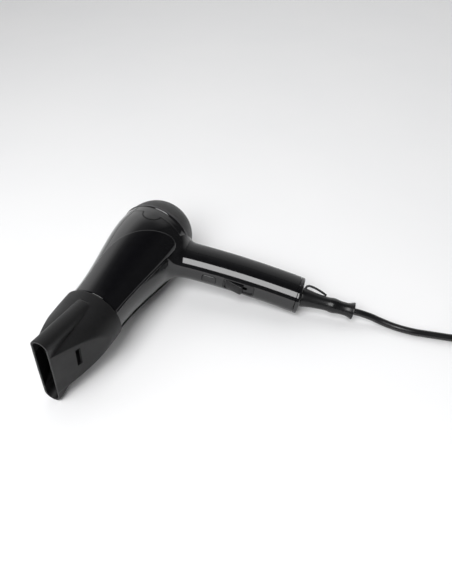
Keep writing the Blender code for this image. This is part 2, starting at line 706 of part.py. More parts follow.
def make_switch(parts, handle, slide_axis, mats):
    depth = 0.0100
    tray = block("switch_tray", (TRAY_START, -0.03, -TRAY_HALF_WIDTH), (TRAY_END, -depth, TRAY_HALF_WIDTH),
                 handle_matrix())
    keep(tray, handle_solid("skin", 0.06, 0.13, 0.0, 6))
    recess = block("recess", (TRAY_START + 0.001, -0.03, -TRAY_HALF_WIDTH + 0.001),
                   (TRAY_END - 0.001, -depth - 0.0012, TRAY_HALF_WIDTH - 0.001), handle_matrix())
    slot = block("slot", (0.0893, -0.03, -0.0016), (0.1022, 0.0, 0.0016), handle_matrix())
    cut(tray, recess, slot)
    finish(tray, mats["satin_black"], parts, flat=True)

    knob = round_block("slide_knob", (0.0820, -0.0163, -0.0049), (0.0987, -0.0115, 0.0049), 0.0009)
    ramp = block("ramp", (-0.018, -0.005, -0.01), (0.0, 0.0, 0.01),
                 Matrix.Translation((0.0968, -0.0164, 0.0)) @ Matrix.Rotation(math.radians(-17.0), 4, "Z"))
    cut(knob, ramp)
    join(knob, block("stem", (0.0900, -0.0120, -0.0012), (0.0935, -0.0078, 0.0012)))
    finish(knob, mats["satin_black"], slide_axis)

    body = round_block("slide_switch_body", (0.0840, -0.0074, -0.0062), (0.1080, 0.0020, 0.0062), 0.0005, 1)
    finish(body, mats["matte_black"], handle, flat=True)


def make_cool_button(handle, press_axis, mats):
    face_y = -0.0134
    button = round_block("cool_button", (BUTTON_START, face_y, -BUTTON_HALF_WIDTH),
                         (BUTTON_END, -0.0090, BUTTON_HALF_WIDTH), 0.0007)
    flange = block("flange", (BUTTON_START - 0.0009, -0.0098, -0.0046), (BUTTON_END + 0.0009, -0.0088, 0.0046))
    stem = rod("stem", (0.0664, -0.0089, 0.0), (0.0664, -0.0053, 0.0), 0.0012, 12)
    join(button, flange, stem)
    finish(button, mats["satin_black"], press_axis)

    turns = 4
    steps = turns * 12
    centre_x = 0.0664
    points = []
    for step in range(steps + 1):
        angle = 2.0 * math.pi * turns * step / steps
        points.append((centre_x + 0.0026 * math.cos(angle), -0.0069 + 0.0029 * step / steps,
                       0.0026 * math.sin(angle)))
    finish(wire("cool_button_spring", points, 0.00025, 0), mats["steel"], handle)
    switch = block("cool_switch_body", (0.0600, -0.0035, -0.0050), (0.0730, 0.0040, 0.0050))
    finish(switch, mats["matte_black"], handle, flat=True)


def make_wiring(handle, mats):
    finish(round_block("interference_capacitor", (0.1150, -0.0040, -0.0060), (0.1270, 0.0060, 0.0060), 0.0008),
           mats["yellow_film"], handle)
    finish(rod("cord_inner", (0.1310, 0.0035, 0.0), (0.1420, 0.0035, 0.0), CORD_RADIUS, 12),
           mats["black_rubber"], handle)
    clamp = block("cord_clamp", (0.1330, -0.0045, 0.0034), (0.1380, 0.0115, 0.0056))
    for y in (-0.0025, 0.0095):
        cut(clamp, rod("screw_hole", (0.1355, y, 0.0), (0.1355, y, 0.01), 0.0014, 12))
    finish(clamp, mats["white_nylon"], handle, flat=True)
    for number, y in ((1, -0.0025), (2, 0.0095)):
        profile = [(0.0, 0.0), (0.0, 0.0010), (0.0085, 0.0010), (0.0085, 0.0022), (0.0096, 0.0022), (0.0096, 0.0)]
        turn = Matrix.Translation((0.1355, y, -0.0026)) @ Matrix.Rotation(math.radians(90.0), 4, "X")
        finish(turned(f"cord_clamp_screw_{number}", profile, 12, turn), mats["steel"], handle)
    live = smooth_route([(0.1303, 0.0050, 0.0010), (0.1220, 0.0085, 0.0010), (0.1120, 0.0060, 0.0010),
                         (0.1020, 0.0035, 0.0010)], 10)
    neutral = smooth_route([(0.1303, 0.0022, -0.0012), (0.1290, 0.0080, -0.0030), (0.1150, 0.0110, -0.0040),
                            (0.0800, 0.0120, -0.0040), (0.0500, 0.0080, -0.0030), (0.0360, 0.0060, -0.0020)], 15)
    switched = smooth_route([(0.0900, 0.0034, 0.0030), (0.0780, 0.0070, 0.0040), (0.0560, 0.0075, 0.0040),
                             (0.0450, 0.0040, 0.0030), (0.0360, 0.0010, 0.0020)], 11)
    finish(wire("lead_live", live, 0.0009, 0), mats["brown_lead"], handle)
    finish(wire("lead_neutral", neutral, 0.0009, 0), mats["blue_lead"], handle)
    finish(wire("lead_switched", switched, 0.0009, 0), mats["brown_lead"], handle)


# ---------------------------------------------------------------- strain relief, loop, cord and plug

def boot_profile():
    """Length along the strain relief and its radius, from its inner flange to its flared end."""
    inner = [(-0.0080, 0.0), (-0.0080, 0.0078), (-0.0052, 0.0078), (-0.0052, 0.0056), (0.0, 0.0056)]
    outside = [(0.0, 0.0088), (0.0020, 0.0086), (0.0100, 0.0074), (0.0200, 0.0064), (0.0245, 0.0063),
               (0.0280, 0.0071), (0.0315, 0.0069), (0.0355, 0.0058), (0.0400, 0.0058), (0.0440, 0.0067),
               (0.0465, 0.0079), (BOOT_LENGTH, 0.0080), (BOOT_LENGTH, 0.0)]
    return inner + outside


def make_boot(parts, mats):
    swing = boot_matrix() @ Matrix.Rotation(math.radians(-90.0), 4, "Z")
    finish(turned("strain_relief", boot_profile(), 20, swing), mats["black_rubber"], parts)
    lean = math.radians(48.0)
    route = [(0.0020, 0.0097), (0.0024, 0.0112), (0.0045, 0.0123), (0.0085, 0.0121), (0.0150, 0.0106),
             (0.0205, 0.0086), (0.0220, 0.0078)]
    points = [(x, reach * math.cos(lean), reach * math.sin(lean)) for x, reach in route]
    loop = smooth_route(points, 14)
    finish(wire("hanging_loop", loop, 0.0012, 2, boot_matrix()), mats["black_rubber"], parts)


def cord_exit(distance):
    """A point on the strain relief's axis, that far beyond its flared end."""
    return rest_matrix() @ boot_matrix() @ Vector((BOOT_LENGTH + distance, 0.0, 0.0))


def cord_route():
    """The cord's own points, from the strain relief along the table to the outermost turn of the coil."""
    return [cord_exit(GAP), cord_exit(0.007), (0.1310, 0.0711, 0.0068), (0.1390, 0.0713, 0.0047),
            (0.1500, 0.0708, 0.0034), (0.1590, 0.0706, 0.0032), (0.1690, 0.0711, 0.0032),
            (0.1790, 0.0727, 0.0032), (0.1980, 0.0761, 0.0032), (0.2120, 0.0787, 0.0032),
            (0.2245, 0.0804, 0.0033)]


def tail_route():
    """The last of the cord, from the coil's upper layer to the plug."""
    return [(0.2765, 0.0810, 0.0086), (0.2870, 0.0828, 0.0074), (0.2975, 0.0890, 0.0070),
            (0.3050, 0.0960, 0.0074), (0.3087, 0.1040, 0.0077), (0.3090, 0.1108, 0.0078)]


def make_cord(mats):
    rubber = mats["black_rubber"]
    finish(wire("cord", smooth_route(cord_route(), CORD_POINTS), CORD_RADIUS, 2), rubber, None)
    finish(wire("cord_tail", smooth_route(tail_route(), 12), CORD_RADIUS, 2), rubber, None)
    height = 2.0 * CORD_RADIUS * COIL_LAYERS
    half = COIL_TURNS_ACROSS * CORD_RADIUS
    rim = 0.0012
    profile = [(0.0, -half + rim), (0.0, half - rim), (rim, half), (height - rim, half),
               (height, half - rim), (height, -half + rim), (height - rim, -half), (rim, -half)]
    turn = Matrix.Translation(COIL_CENTRE) @ Matrix.Rotation(math.radians(90.0), 4, "X")
    ring = [(y, COIL_MEAN_RADIUS + across) for y, across in profile]
    finish(turned("cord_coil", ring, 36, turn), rubber, None)

    place = Matrix.Translation(COIL_CENTRE) @ Matrix.Rotation(TIE_ANGLE, 4, "Z")
    near = COIL_MEAN_RADIUS - half - GAP
    far = COIL_MEAN_RADIUS + half + GAP
    reach = 0.5 * TIE_WIDTH
    band = block("cord_tie", (near - TIE_THICKNESS, -reach, -GAP - TIE_THICKNESS),
                 (far + TIE_THICKNESS, reach, height + GAP + TIE_THICKNESS), place)
    cut(band, block("inside", (near, -0.01, -GAP), (far, 0.01, height + GAP), place))
    finish(band, mats["satin_black"], None, flat=True)


def plug_section(y, half_width, half_height, power):
    points = []
    sides = 20
    for index in range(sides):
        angle = 2.0 * math.pi * index / sides
        reach = (abs(math.cos(angle)) ** power + abs(math.sin(angle)) ** power) ** (-1.0 / power)
        points.append(Vector((half_width * reach * math.cos(angle), y, half_height * reach * math.sin(angle))))
    return points


def make_plug(mats):
    place = Matrix.Translation(PLUG_BASE)
    width = PLUG_HALF_WIDTH
    height = PLUG_HALF_HEIGHT
    sections = [plug_section(0.0, 0.0040, 0.0040, 2.0), plug_section(0.0060, 0.0044, 0.0044, 2.0),
                plug_section(0.0120, 0.0056, 0.0052, 2.2), plug_section(0.0160, 0.0090, 0.0066, 3.0),
                plug_section(0.0200, width, height, 4.0), plug_section(0.0440, width, height, 4.0)]
    finish(loft("plug_body", sections, place), mats["black_rubber"], None)
    for number, side in ((1, -0.5), (2, 0.5)):
        start = (PIN_SPACING * side, 0.0440 + GAP, 0.0)
        end = (PIN_SPACING * side, 0.0440 + PIN_LENGTH, 0.0)
        finish(rod(f"plug_pin_{number}", start, end, PIN_RADIUS, 12, place), mats["nickel"], None)


clear_scene()
materials = make_materials()
rest = empty("dryer_rest", rest_matrix())
parts = empty("dryer_parts", None, rest)
rear_axis = empty("rear_cover_axis", None, rest)
nozzle_axis = empty("nozzle_axis", None, rest)
fan_axis = empty("fan_axis", None, rest)
handle = empty("handle_frame", handle_matrix(), rest)
slide_axis = empty("speed_slide_axis", None, handle)
press_axis = empty("cool_button_axis", None, handle)

make_body_shell(parts, materials)
make_back_cover(parts, materials)
make_end_cap(parts, materials)
make_side_panel(parts, materials, "side_panel_left", 1.0)
make_side_panel(parts, materials, "side_panel_right", -1.0)
make_rear_cover(rear_axis, materials)
make_nozzle(nozzle_axis, materials)
make_outlet_grille(parts, materials)
make_heater(parts, materials)
make_motor(parts, materials)
make_fan_guide(parts, materials)
make_fan(fan_axis, materials)
make_switch(parts, handle, slide_axis, materials)
make_cool_button(handle, press_axis, materials)
make_wiring(handle, materials)
make_boot(parts, materials)
make_cord(materials)
make_plug(materials)
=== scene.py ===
"""Looks of the travel hair dryer: fine surfaces, materials, cord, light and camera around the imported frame.

The dryer's own frame is the one it is designed in: the barrel's axis is Y with the air outlet at -Y, the
handle runs towards +X, and Z goes through the side panels. Its pieces are made there, then laid on the table.
"""
import math

import bmesh
import bpy
import numpy as np
from mathutils import Matrix, Vector


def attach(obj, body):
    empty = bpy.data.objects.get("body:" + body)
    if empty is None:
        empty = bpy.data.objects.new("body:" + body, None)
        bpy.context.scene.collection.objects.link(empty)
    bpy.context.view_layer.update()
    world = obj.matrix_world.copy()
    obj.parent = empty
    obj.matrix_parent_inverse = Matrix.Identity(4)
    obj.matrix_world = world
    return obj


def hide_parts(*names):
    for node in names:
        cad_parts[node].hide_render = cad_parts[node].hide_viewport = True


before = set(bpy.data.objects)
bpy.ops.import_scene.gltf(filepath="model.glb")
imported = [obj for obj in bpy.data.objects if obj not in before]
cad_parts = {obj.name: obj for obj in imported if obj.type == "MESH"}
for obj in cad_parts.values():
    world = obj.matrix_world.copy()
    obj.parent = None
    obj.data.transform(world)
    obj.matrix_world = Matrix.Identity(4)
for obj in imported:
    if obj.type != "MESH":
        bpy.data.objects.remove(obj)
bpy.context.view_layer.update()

MM = 0.001

# ------------ driving sizes, in metres as in the frame

BARREL_RADIUS = 0.035
FRONT_RADIUS = 0.0236
TAPER_LENGTH = 0.097
TAPER_POWER = 0.85
DOME_LENGTH = 0.047
DOME_POWER = 2.7
FRONT_END = -0.103
WALL = 0.002
GAP = 0.0003

COVER_SEAM = 0.0056
GRILLE_RIM = 0.0145
TAB_RADIUS = 0.008
COVER_WALL = 0.0024
GRILLE_WALL = 0.0014
GRILLE_PITCH = 0.0015
GRILLE_HOLE = 0.00048

HANDLE_ANGLE = math.radians(6.27)
HANDLE_ROOT_Y = -0.0068
HANDLE_LENGTH = 0.15
HANDLE_START = 0.01
HANDLE_CAP_X = 0.1463
HALF_DEPTH_ROOT = 0.0176
HALF_DEPTH_END = 0.0164
HALF_THICKNESS = 0.0147
HANDLE_BOW = 0.0041
NECK_FLARE = 0.0056
NECK_LENGTH = 0.04
NECK_BLEND = 0.009
SECTION_POWER = 2.4
SEAM_OFFSET = -0.0035
NECK_SEAM_X = 0.0385
GRID_STEP = 0.0014

COLLAR_BACK = -0.0938
COLLAR_FRONT = -0.1046
COLLAR_RADIUS = 0.0261
NOZZLE_END = -0.1572
NOZZLE_WALL = 0.0018
OUTLET_HALF_X = 0.0072
OUTLET_HALF_Z = 0.0385
CONE_SLOPE = 0.025
FACE_SLOPE = 0.4
FIN_SLOPE = 0.205
FIN_CROWDING = 2.4
EDGE_ROUNDING = 0.0008
BORE_RADIUS = 0.024
THROAT_RADIUS = 0.0225
VENT_Y = (-0.139, -0.135)
VENT_Z = (-0.005, 0.015)
NOZZLE_SIDES = 384

PANEL_LIFT = 0.0005
PANEL_THICKNESS = 0.0009
PANEL_EDGE = 0.0008
PANEL_SPINE = (-0.076, -0.024)
PANEL_BACK = -0.0045
PANEL_FRONT = -0.0931
PANEL_LOW_ANGLE = math.radians(27.5)
PANEL_BACK_ANGLE = math.radians(46.0)
PANEL_TOP_ANGLE = math.radians(129.0)
PANEL_RISE_LENGTH = 0.06
PANEL_RISE_POWER = 0.78

TRAY_START = 0.08
TRAY_END = 0.1085
TRAY_HALF_WIDTH = 0.0063
BUTTON_START = 0.06
BUTTON_END = 0.0728
BUTTON_HALF_WIDTH = 0.0039
BUTTON_FACE_Y = -0.01318
BUTTON_DISH = 0.00015
KNOB_START = 0.082
KNOB_END = 0.0987
KNOB_HALF_WIDTH = 0.0049
LOOP_LEAN = math.radians(48.0)

BOOT_YAW = math.radians(-0.5)
BOOT_LIFT = math.radians(2.0)
BOOT_BASE = Vector((0.1508, -0.001, 0.0002))
BOOT_LENGTH = 0.0475
CORD_RADIUS = 0.0031
COIL_TURNS_ACROSS = 4
COIL_MEAN_RADIUS = 0.034
COIL_CENTRE = Vector((0.2495, 0.1244, 0.0008))
TIE_ANGLE = math.radians(115.0)
TIE_WIDTH = 0.004
PLUG_BASE = Vector((0.309, 0.1113, 0.0078))
PIN_RADIUS = 0.002
PIN_SPACING = 0.019
PIN_LENGTH = 0.019
PLUG_FACE = 0.044

LEAN_SIDE = math.radians(7.8)
LEAN_FRONT = math.radians(-1.13)
REST_POSITION = Vector((-0.0809, 0.0555, 0.03513))

TO_ROW = (Matrix.Translation(REST_POSITION) @ Matrix.Rotation(LEAN_SIDE, 4, "Y")
          @ Matrix.Rotation(LEAN_FRONT, 4, "X"))
HANDLE = Matrix.Translation((0.0, HANDLE_ROOT_Y, 0.0)) @ Matrix.Rotation(HANDLE_ANGLE, 4, "Z")
BOOT = (HANDLE @ Matrix.Translation(BOOT_BASE) @ Matrix.Rotation(BOOT_YAW, 4, "Z")
        @ Matrix.Rotation(-BOOT_LIFT, 4, "Y"))
BOOT_TURNED = BOOT @ Matrix.Rotation(math.radians(-90.0), 4, "Z")

WORLD_STRENGTH = 1.1
SCREEN_SIDE = (-0.77, 0.64, 0.0)
SCREEN_BY_HEIGHT = ((0.0, 1.0), (1.0, 0.06), (0.57, 1.0), (0.71, 0.6), (0.81, 0.22), (0.9, 0.07))
SCREEN_BY_SIDE = ((0.0, 0.05), (1.0, 1.0), (0.05, 0.06), (0.28, 0.6), (0.48, 1.0))


# ------------ camera, floor and light

def make_camera():
    azimuth = math.radians(23.28)
    pitch = math.radians(46.47)
    roll = math.radians(-1.03)
    data = bpy.data.cameras.new("camera")
    data.sensor_width = 36.0
    data.lens = 29.91
    data.clip_start = 0.01
    data.clip_end = 30.0
    camera = bpy.data.objects.new("camera", data)
    turn = (Matrix.Rotation(azimuth, 4, "Z") @ Matrix.Rotation(math.pi / 2.0 - pitch, 4, "X")
            @ Matrix.Rotation(roll, 4, "Z"))
    camera.matrix_world = Matrix.Translation((0.12315, -0.2368, 0.3369)) @ turn
    bpy.context.scene.collection.objects.link(camera)
    bpy.context.scene.camera = camera


def area_light(name, place, aim, width, height, strength, mirrored=True):
    """A soft box, its width level; one that is not mirrored lights the scene without showing in gloss."""
    data = bpy.data.lights.new(name, "AREA")
    data.shape = "RECTANGLE"
    data.size = width
    data.size_y = height
    data.energy = strength
    lamp = bpy.data.objects.new(name, data)
    back = (Vector(place) - Vector(aim)).normalized()
    level = Vector((0.0, 0.0, 1.0)).cross(back).normalized()
    turn = Matrix((level, back.cross(level), back)).transposed().to_4x4()
    lamp.matrix_world = Matrix.Translation(place) @ turn
    lamp.visible_glossy = mirrored
    bpy.context.scene.collection.objects.link(lamp)


def ramp_node(tree, source, stops):
    """A colour ramp through (position, colour) stops, the first two of them its ends."""
    ramp = tree.nodes.new("ShaderNodeValToRGB")
    elements = ramp.color_ramp.elements
    for index, (position, colour) in enumerate(stops):
        stop = elements[index] if index < 2 else elements.new(position)
        stop.position = position
        stop.color = (*colour, 1.0)
    tree.links.new(source, ramp.inputs["Fac"])
    return ramp.outputs["Color"]


def grey_ramp(tree, source, stops):
    return ramp_node(tree, source, [(position, (level,) * 3) for position, level in stops])


def make_world():
    """A dim room with a pale screen low down behind the barrel's side and the dome."""
    world = bpy.data.worlds.new("studio")
    world.use_nodes = True
    tree = world.node_tree
    tree.nodes.clear()
    place, split, towards, both, light, out = (tree.nodes.new(kind) for kind in (
        "ShaderNodeTexCoord", "ShaderNodeSeparateXYZ", "ShaderNodeVectorMath", "ShaderNodeMix",
        "ShaderNodeBackground", "ShaderNodeOutputWorld"))
    towards.operation = "DOT_PRODUCT"
    towards.inputs[1].default_value = SCREEN_SIDE
    both.data_type = "RGBA"
    both.blend_type = "MULTIPLY"
    both.inputs["Factor"].default_value = 1.0
    light.inputs["Strength"].default_value = WORLD_STRENGTH
    tree.links.new(place.outputs["Generated"], split.inputs["Vector"])
    tree.links.new(place.outputs["Generated"], towards.inputs[0])
    tree.links.new(grey_ramp(tree, split.outputs["Z"], SCREEN_BY_HEIGHT), both.inputs[6])
    tree.links.new(grey_ramp(tree, towards.outputs["Value"], SCREEN_BY_SIDE), both.inputs[7])
    tree.links.new(both.outputs[2], light.inputs["Color"])
    tree.links.new(light.outputs["Background"], out.inputs["Surface"])
    bpy.context.scene.world = world
    bpy.context.scene.view_settings.view_transform = "Standard"


def make_studio():
    make_camera()
    make_world()
    area_light("soft_box", (-0.06, -0.585, 0.94), (-0.03, 0.03, 0.03), 0.66, 0.9, 12.5)
    area_light("front_fill", (0.05, -1.3, 0.6), (0.05, 0.0, 0.0), 2.2, 0.7, 3.5, mirrored=False)
    area_light("rear_fill", (0.15, 1.1, 1.3), (0.15, 0.45, 0.0), 2.6, 1.2, 9.5, mirrored=False)
    bm = bmesh.new()
    bmesh.ops.create_grid(bm, x_segments=8, y_segments=8, size=3.0)
    mesh = bpy.data.meshes.new("floor")
    bm.to_mesh(mesh)
    bm.free()
    floor = bpy.data.objects.new("floor", mesh)
    bpy.context.scene.collection.objects.link(floor)
    mesh.materials.append(make_floor_material())


# ------------ materials

def new_material(name, colour, roughness, metallic=0.0):
    """A Principled material; returns it with its node tree and shader."""
    made = bpy.data.materials.new(name)
    made.use_nodes = True
    shader = made.node_tree.nodes["Principled BSDF"]
    shader.inputs["Base Color"].default_value = (*colour, 1.0)
    shader.inputs["Roughness"].default_value = roughness
    shader.inputs["Metallic"].default_value = metallic
    return made, made.node_tree, shader


def texture_node(tree, kind, scale, stretch=None):
    """A texture on the object's own coordinates; scale is in features a metre."""
    texture = tree.nodes.new(kind)
    texture.inputs["Scale"].default_value = scale
    source = tree.nodes.new("ShaderNodeTexCoord").outputs["Object"]
    if stretch is not None:
        mapping = tree.nodes.new("ShaderNodeMapping")
        mapping.inputs["Scale"].default_value = stretch
        tree.links.new(source, mapping.inputs["Vector"])
        source = mapping.outputs["Vector"]
    tree.links.new(source, texture.inputs["Vector"])
    return texture


def noise(tree, scale, detail=2.0, roughness=0.5, stretch=None):
    texture = texture_node(tree, "ShaderNodeTexNoise", scale, stretch)
    texture.inputs["Detail"].default_value = detail
    texture.inputs["Roughness"].default_value = roughness
    return texture.outputs["Fac"]


def vary(tree, shader, source, low, high):
    """Let the roughness run from low to high as the source runs from dark to light."""
    ramp = tree.nodes.new("ShaderNodeMapRange")
    for socket, value in (("From Min", 0.35), ("From Max", 0.65), ("To Min", low), ("To Max", high)):
        ramp.inputs[socket].default_value = value
    tree.links.new(source, ramp.inputs["Value"])
    tree.links.new(ramp.outputs["Result"], shader.inputs["Roughness"])


def tint(tree, shader, source, first, second, dark=0.35, light=0.65):
    """Let the colour run from first to second as the source runs from dark to light."""
    colour = ramp_node(tree, source, ((dark, first), (light, second)))
    tree.links.new(colour, shader.inputs["Base Color"])


def bump(tree, shader, source, height):
    """Relief of that height in metres."""
    relief = tree.nodes.new("ShaderNodeBump")
    relief.inputs["Distance"].default_value = height
    tree.links.new(source, relief.inputs["Height"])
    tree.links.new(relief.outputs["Normal"], shader.inputs["Normal"])


def make_floor_material():
    made, tree, shader = new_material("studio_paper", (0.86, 0.86, 0.87), 0.75)
    tint(tree, shader, noise(tree, 6.0, 3.0), (0.855, 0.857, 0.865), (0.868, 0.868, 0.874))
    return made


def plastic(name, colour, roughness, spread, grain, relief, lift=1.25, mirror=0.5):
    """Moulded plastic: fine grain in relief, and slow changes in colour and gloss."""
    made, tree, shader = new_material(name, colour, roughness)
    shader.inputs["Specular IOR Level"].default_value = mirror
    vary(tree, shader, noise(tree, 45.0, 4.0), roughness - spread, roughness + spread)
    tint(tree, shader, noise(tree, grain * 0.25, 3.0), colour, tuple(c * lift for c in colour))
    bump(tree, shader, noise(tree, grain, 3.0, 0.6), relief)
    return made


# Colour, roughness and its spread, grain in features a metre, relief, lift of the lighter tone, mirror level.
PLASTICS = {
    "gloss_black": ((0.005, 0.005, 0.0056), 0.08, 0.02, 900.0, 0.000001, 1.25, 0.72),
    "panel_black": ((0.0035, 0.0035, 0.0042), 0.05, 0.015, 700.0, 0.0000006, 1.25, 0.6),
    "satin_black": ((0.004, 0.004, 0.0046), 0.22, 0.05, 2600.0, 0.000012, 1.25, 0.36),
    "matte_black": ((0.007, 0.0069, 0.0073), 0.5, 0.05, 2200.0, 0.000055, 1.25, 0.27),
    "grille_black": ((0.02, 0.02, 0.021), 0.42, 0.05, 2000.0, 0.00003),
    "black_rubber": ((0.006, 0.006, 0.0066), 0.3, 0.05, 1500.0, 0.000015, 1.25, 0.4),
    "cord_rubber": ((0.0075, 0.0075, 0.0082), 0.22, 0.05, 1200.0, 0.00001),
    "white_nylon": ((0.72, 0.7, 0.65), 0.42, 0.05, 1800.0, 0.00002, 1.06),
    "brown_lead": ((0.16, 0.06, 0.025), 0.4, 0.05, 1500.0, 0.00001),
    "blue_lead": ((0.02, 0.09, 0.38), 0.4, 0.05, 1500.0, 0.00001),
    "yellow_film": ((0.66, 0.47, 0.07), 0.28, 0.05, 500.0, 0.00001),
    "magnet": ((0.055, 0.055, 0.06), 0.6, 0.06, 2800.0, 0.00003),
}

# Light and dark colour, roughness, and how the marks are stretched.
METALS = {
    "steel": ((0.6, 0.6, 0.62), (0.5, 0.5, 0.53), 0.28, (1.0, 14.0, 14.0)),
    "nichrome": ((0.34, 0.31, 0.29), (0.22, 0.19, 0.2), 0.38, (1.0, 1.0, 1.0)),
    "nickel": ((0.72, 0.7, 0.66), (0.62, 0.6, 0.57), 0.2, (1.0, 12.0, 1.0)),
}


def make_materials():
    made = {name: plastic(name, *values) for name, values in PLASTICS.items()}
    made.update({name: make_metal(name, *values) for name, values in METALS.items()})
    made.update(mica=make_mica(), circuit_board=make_board(), mesh_black=make_screen())
    return made


def make_metal(name, light, dark, roughness, stretch):
    """Metal with fine drawn or turned marks along one axis."""
    made, tree, shader = new_material(name, light, roughness, 1.0)
    marks = noise(tree, 260.0, 5.0, 0.6, stretch)
    vary(tree, shader, marks, roughness - 0.08, roughness + 0.12)
    tint(tree, shader, noise(tree, 120.0, 3.0), dark, light)
    bump(tree, shader, marks, 0.000006)
    return made


def make_mica():
    """Pressed mica: pale flakes with a slight shine."""
    made, tree, shader = new_material("mica", (0.5, 0.42, 0.29), 0.38)
    flakes = texture_node(tree, "ShaderNodeTexVoronoi", 700.0).outputs["Distance"]
    tint(tree, shader, flakes, (0.56, 0.48, 0.34), (0.4, 0.32, 0.2), 0.1, 0.7)
    vary(tree, shader, noise(tree, 500.0), 0.28, 0.5)
    bump(tree, shader, flakes, 0.00002)
    return made


def make_board():
    """Circuit board: green varnish over a glass weave."""
    made, tree, shader = new_material("circuit_board", (0.03, 0.16, 0.06), 0.35)
    weave = texture_node(tree, "ShaderNodeTexChecker", 1800.0)
    weave.inputs["Color1"].default_value = (0.03, 0.17, 0.065, 1.0)
    weave.inputs["Color2"].default_value = (0.024, 0.145, 0.052, 1.0)
    tree.links.new(weave.outputs["Color"], shader.inputs["Base Color"])
    vary(tree, shader, noise(tree, 300.0), 0.28, 0.42)
    return made


def make_screen():
    """Filter gauze: fine crossing threads in relief."""
    made, tree, shader = new_material("mesh_black", (0.014, 0.014, 0.015), 0.45)
    threads = tree.nodes.new("ShaderNodeMath")
    threads.operation = "MAXIMUM"
    for number, direction in enumerate(("X", "Z")):
        wave = texture_node(tree, "ShaderNodeTexWave", 420.0)
        wave.bands_direction = direction
        tree.links.new(wave.outputs["Fac"], threads.inputs[number])
    relief = threads.outputs["Value"]
    tint(tree, shader, relief, (0.004, 0.004, 0.004), (0.03, 0.03, 0.032), 0.3, 0.8)
    vary(tree, shader, relief, 0.6, 0.38)
    bump(tree, shader, relief, 0.0001)
    return made


# ------------ shapes of the casing, on arrays

def barrel_radius(y):
    """Outer radius of the barrel: a blunt dome behind the origin, a taper in front of it."""
    y = np.asarray(y, float)
    behind = np.clip(y / DOME_LENGTH, 0.0, 1.0)
    ahead = np.clip(-y / TAPER_LENGTH, 0.0, 1.0) ** TAPER_POWER
    dome = BARREL_RADIUS * (1.0 - behind ** DOME_POWER) ** (1.0 / DOME_POWER)
    taper = FRONT_RADIUS + (BARREL_RADIUS - FRONT_RADIUS) * 0.5 * (1.0 + np.cos(np.pi * ahead))
    return np.where(y > 0.0, dome, taper)


def soft_min(a, b, width):
    """The lesser of two distances, blended where they are within width of each other."""
    near = np.clip(width - np.abs(a - b), 0.0, None) / width
    return np.minimum(a, b) - near ** 2 * width * 0.25


def handle_bow(x):
    along = x / HANDLE_LENGTH
    return HANDLE_BOW * 4.0 * along * (1.0 - along)


def handle_halves(x):
    """Half depth and half thickness of the handle at x."""
    x = np.asarray(x, float)
    flare = NECK_FLARE * np.clip(1.0 - (x - HANDLE_START) / NECK_LENGTH, 0.0, None) ** 2
    depth = HALF_DEPTH_ROOT + (HALF_DEPTH_END - HALF_DEPTH_ROOT) * x / HANDLE_LENGTH + flare
    return depth, HALF_THICKNESS + 0.6 * flare


def to_handle(points):
    turn = np.array(HANDLE.inverted())
    return points @ turn[:3, :3].T + turn[:3, 3]


def casing_distance(points):
    """Signed distance, near enough, from points in the dryer's frame to the casing's outer skin."""
    y = points[:, 1]
    radius = np.hypot(points[:, 0], points[:, 2])
    step = 0.0002
    slope = (barrel_radius(y + step) - barrel_radius(y - step)) / (2.0 * step)
    barrel = (radius - barrel_radius(y)) / np.sqrt(1.0 + slope ** 2)
    barrel = np.maximum(barrel, y - 0.034)
    own = to_handle(points)
    x = np.clip(own[:, 0], 0.0, HANDLE_LENGTH + 0.02)
    depth, thickness = handle_halves(x)
    across = np.abs(own[:, 1] - handle_bow(x)) / depth
    up = np.abs(own[:, 2]) / thickness
    size = np.maximum((across ** SECTION_POWER + up ** SECTION_POWER) ** (1.0 / SECTION_POWER), 1e-4)
    power = SECTION_POWER - 1.0
    steepness = np.hypot((across / size) ** power / depth, (up / size) ** power / thickness)
    handle = np.maximum((size - 1.0) / steepness, HANDLE_START - own[:, 0])
    return soft_min(barrel, handle, NECK_BLEND)


def casing_gradient(points):
    step = 0.00005
    sides = [casing_distance(points + shift) - casing_distance(points - shift) for shift in step * np.eye(3)]
    return np.stack(sides, 1) / (2.0 * step)


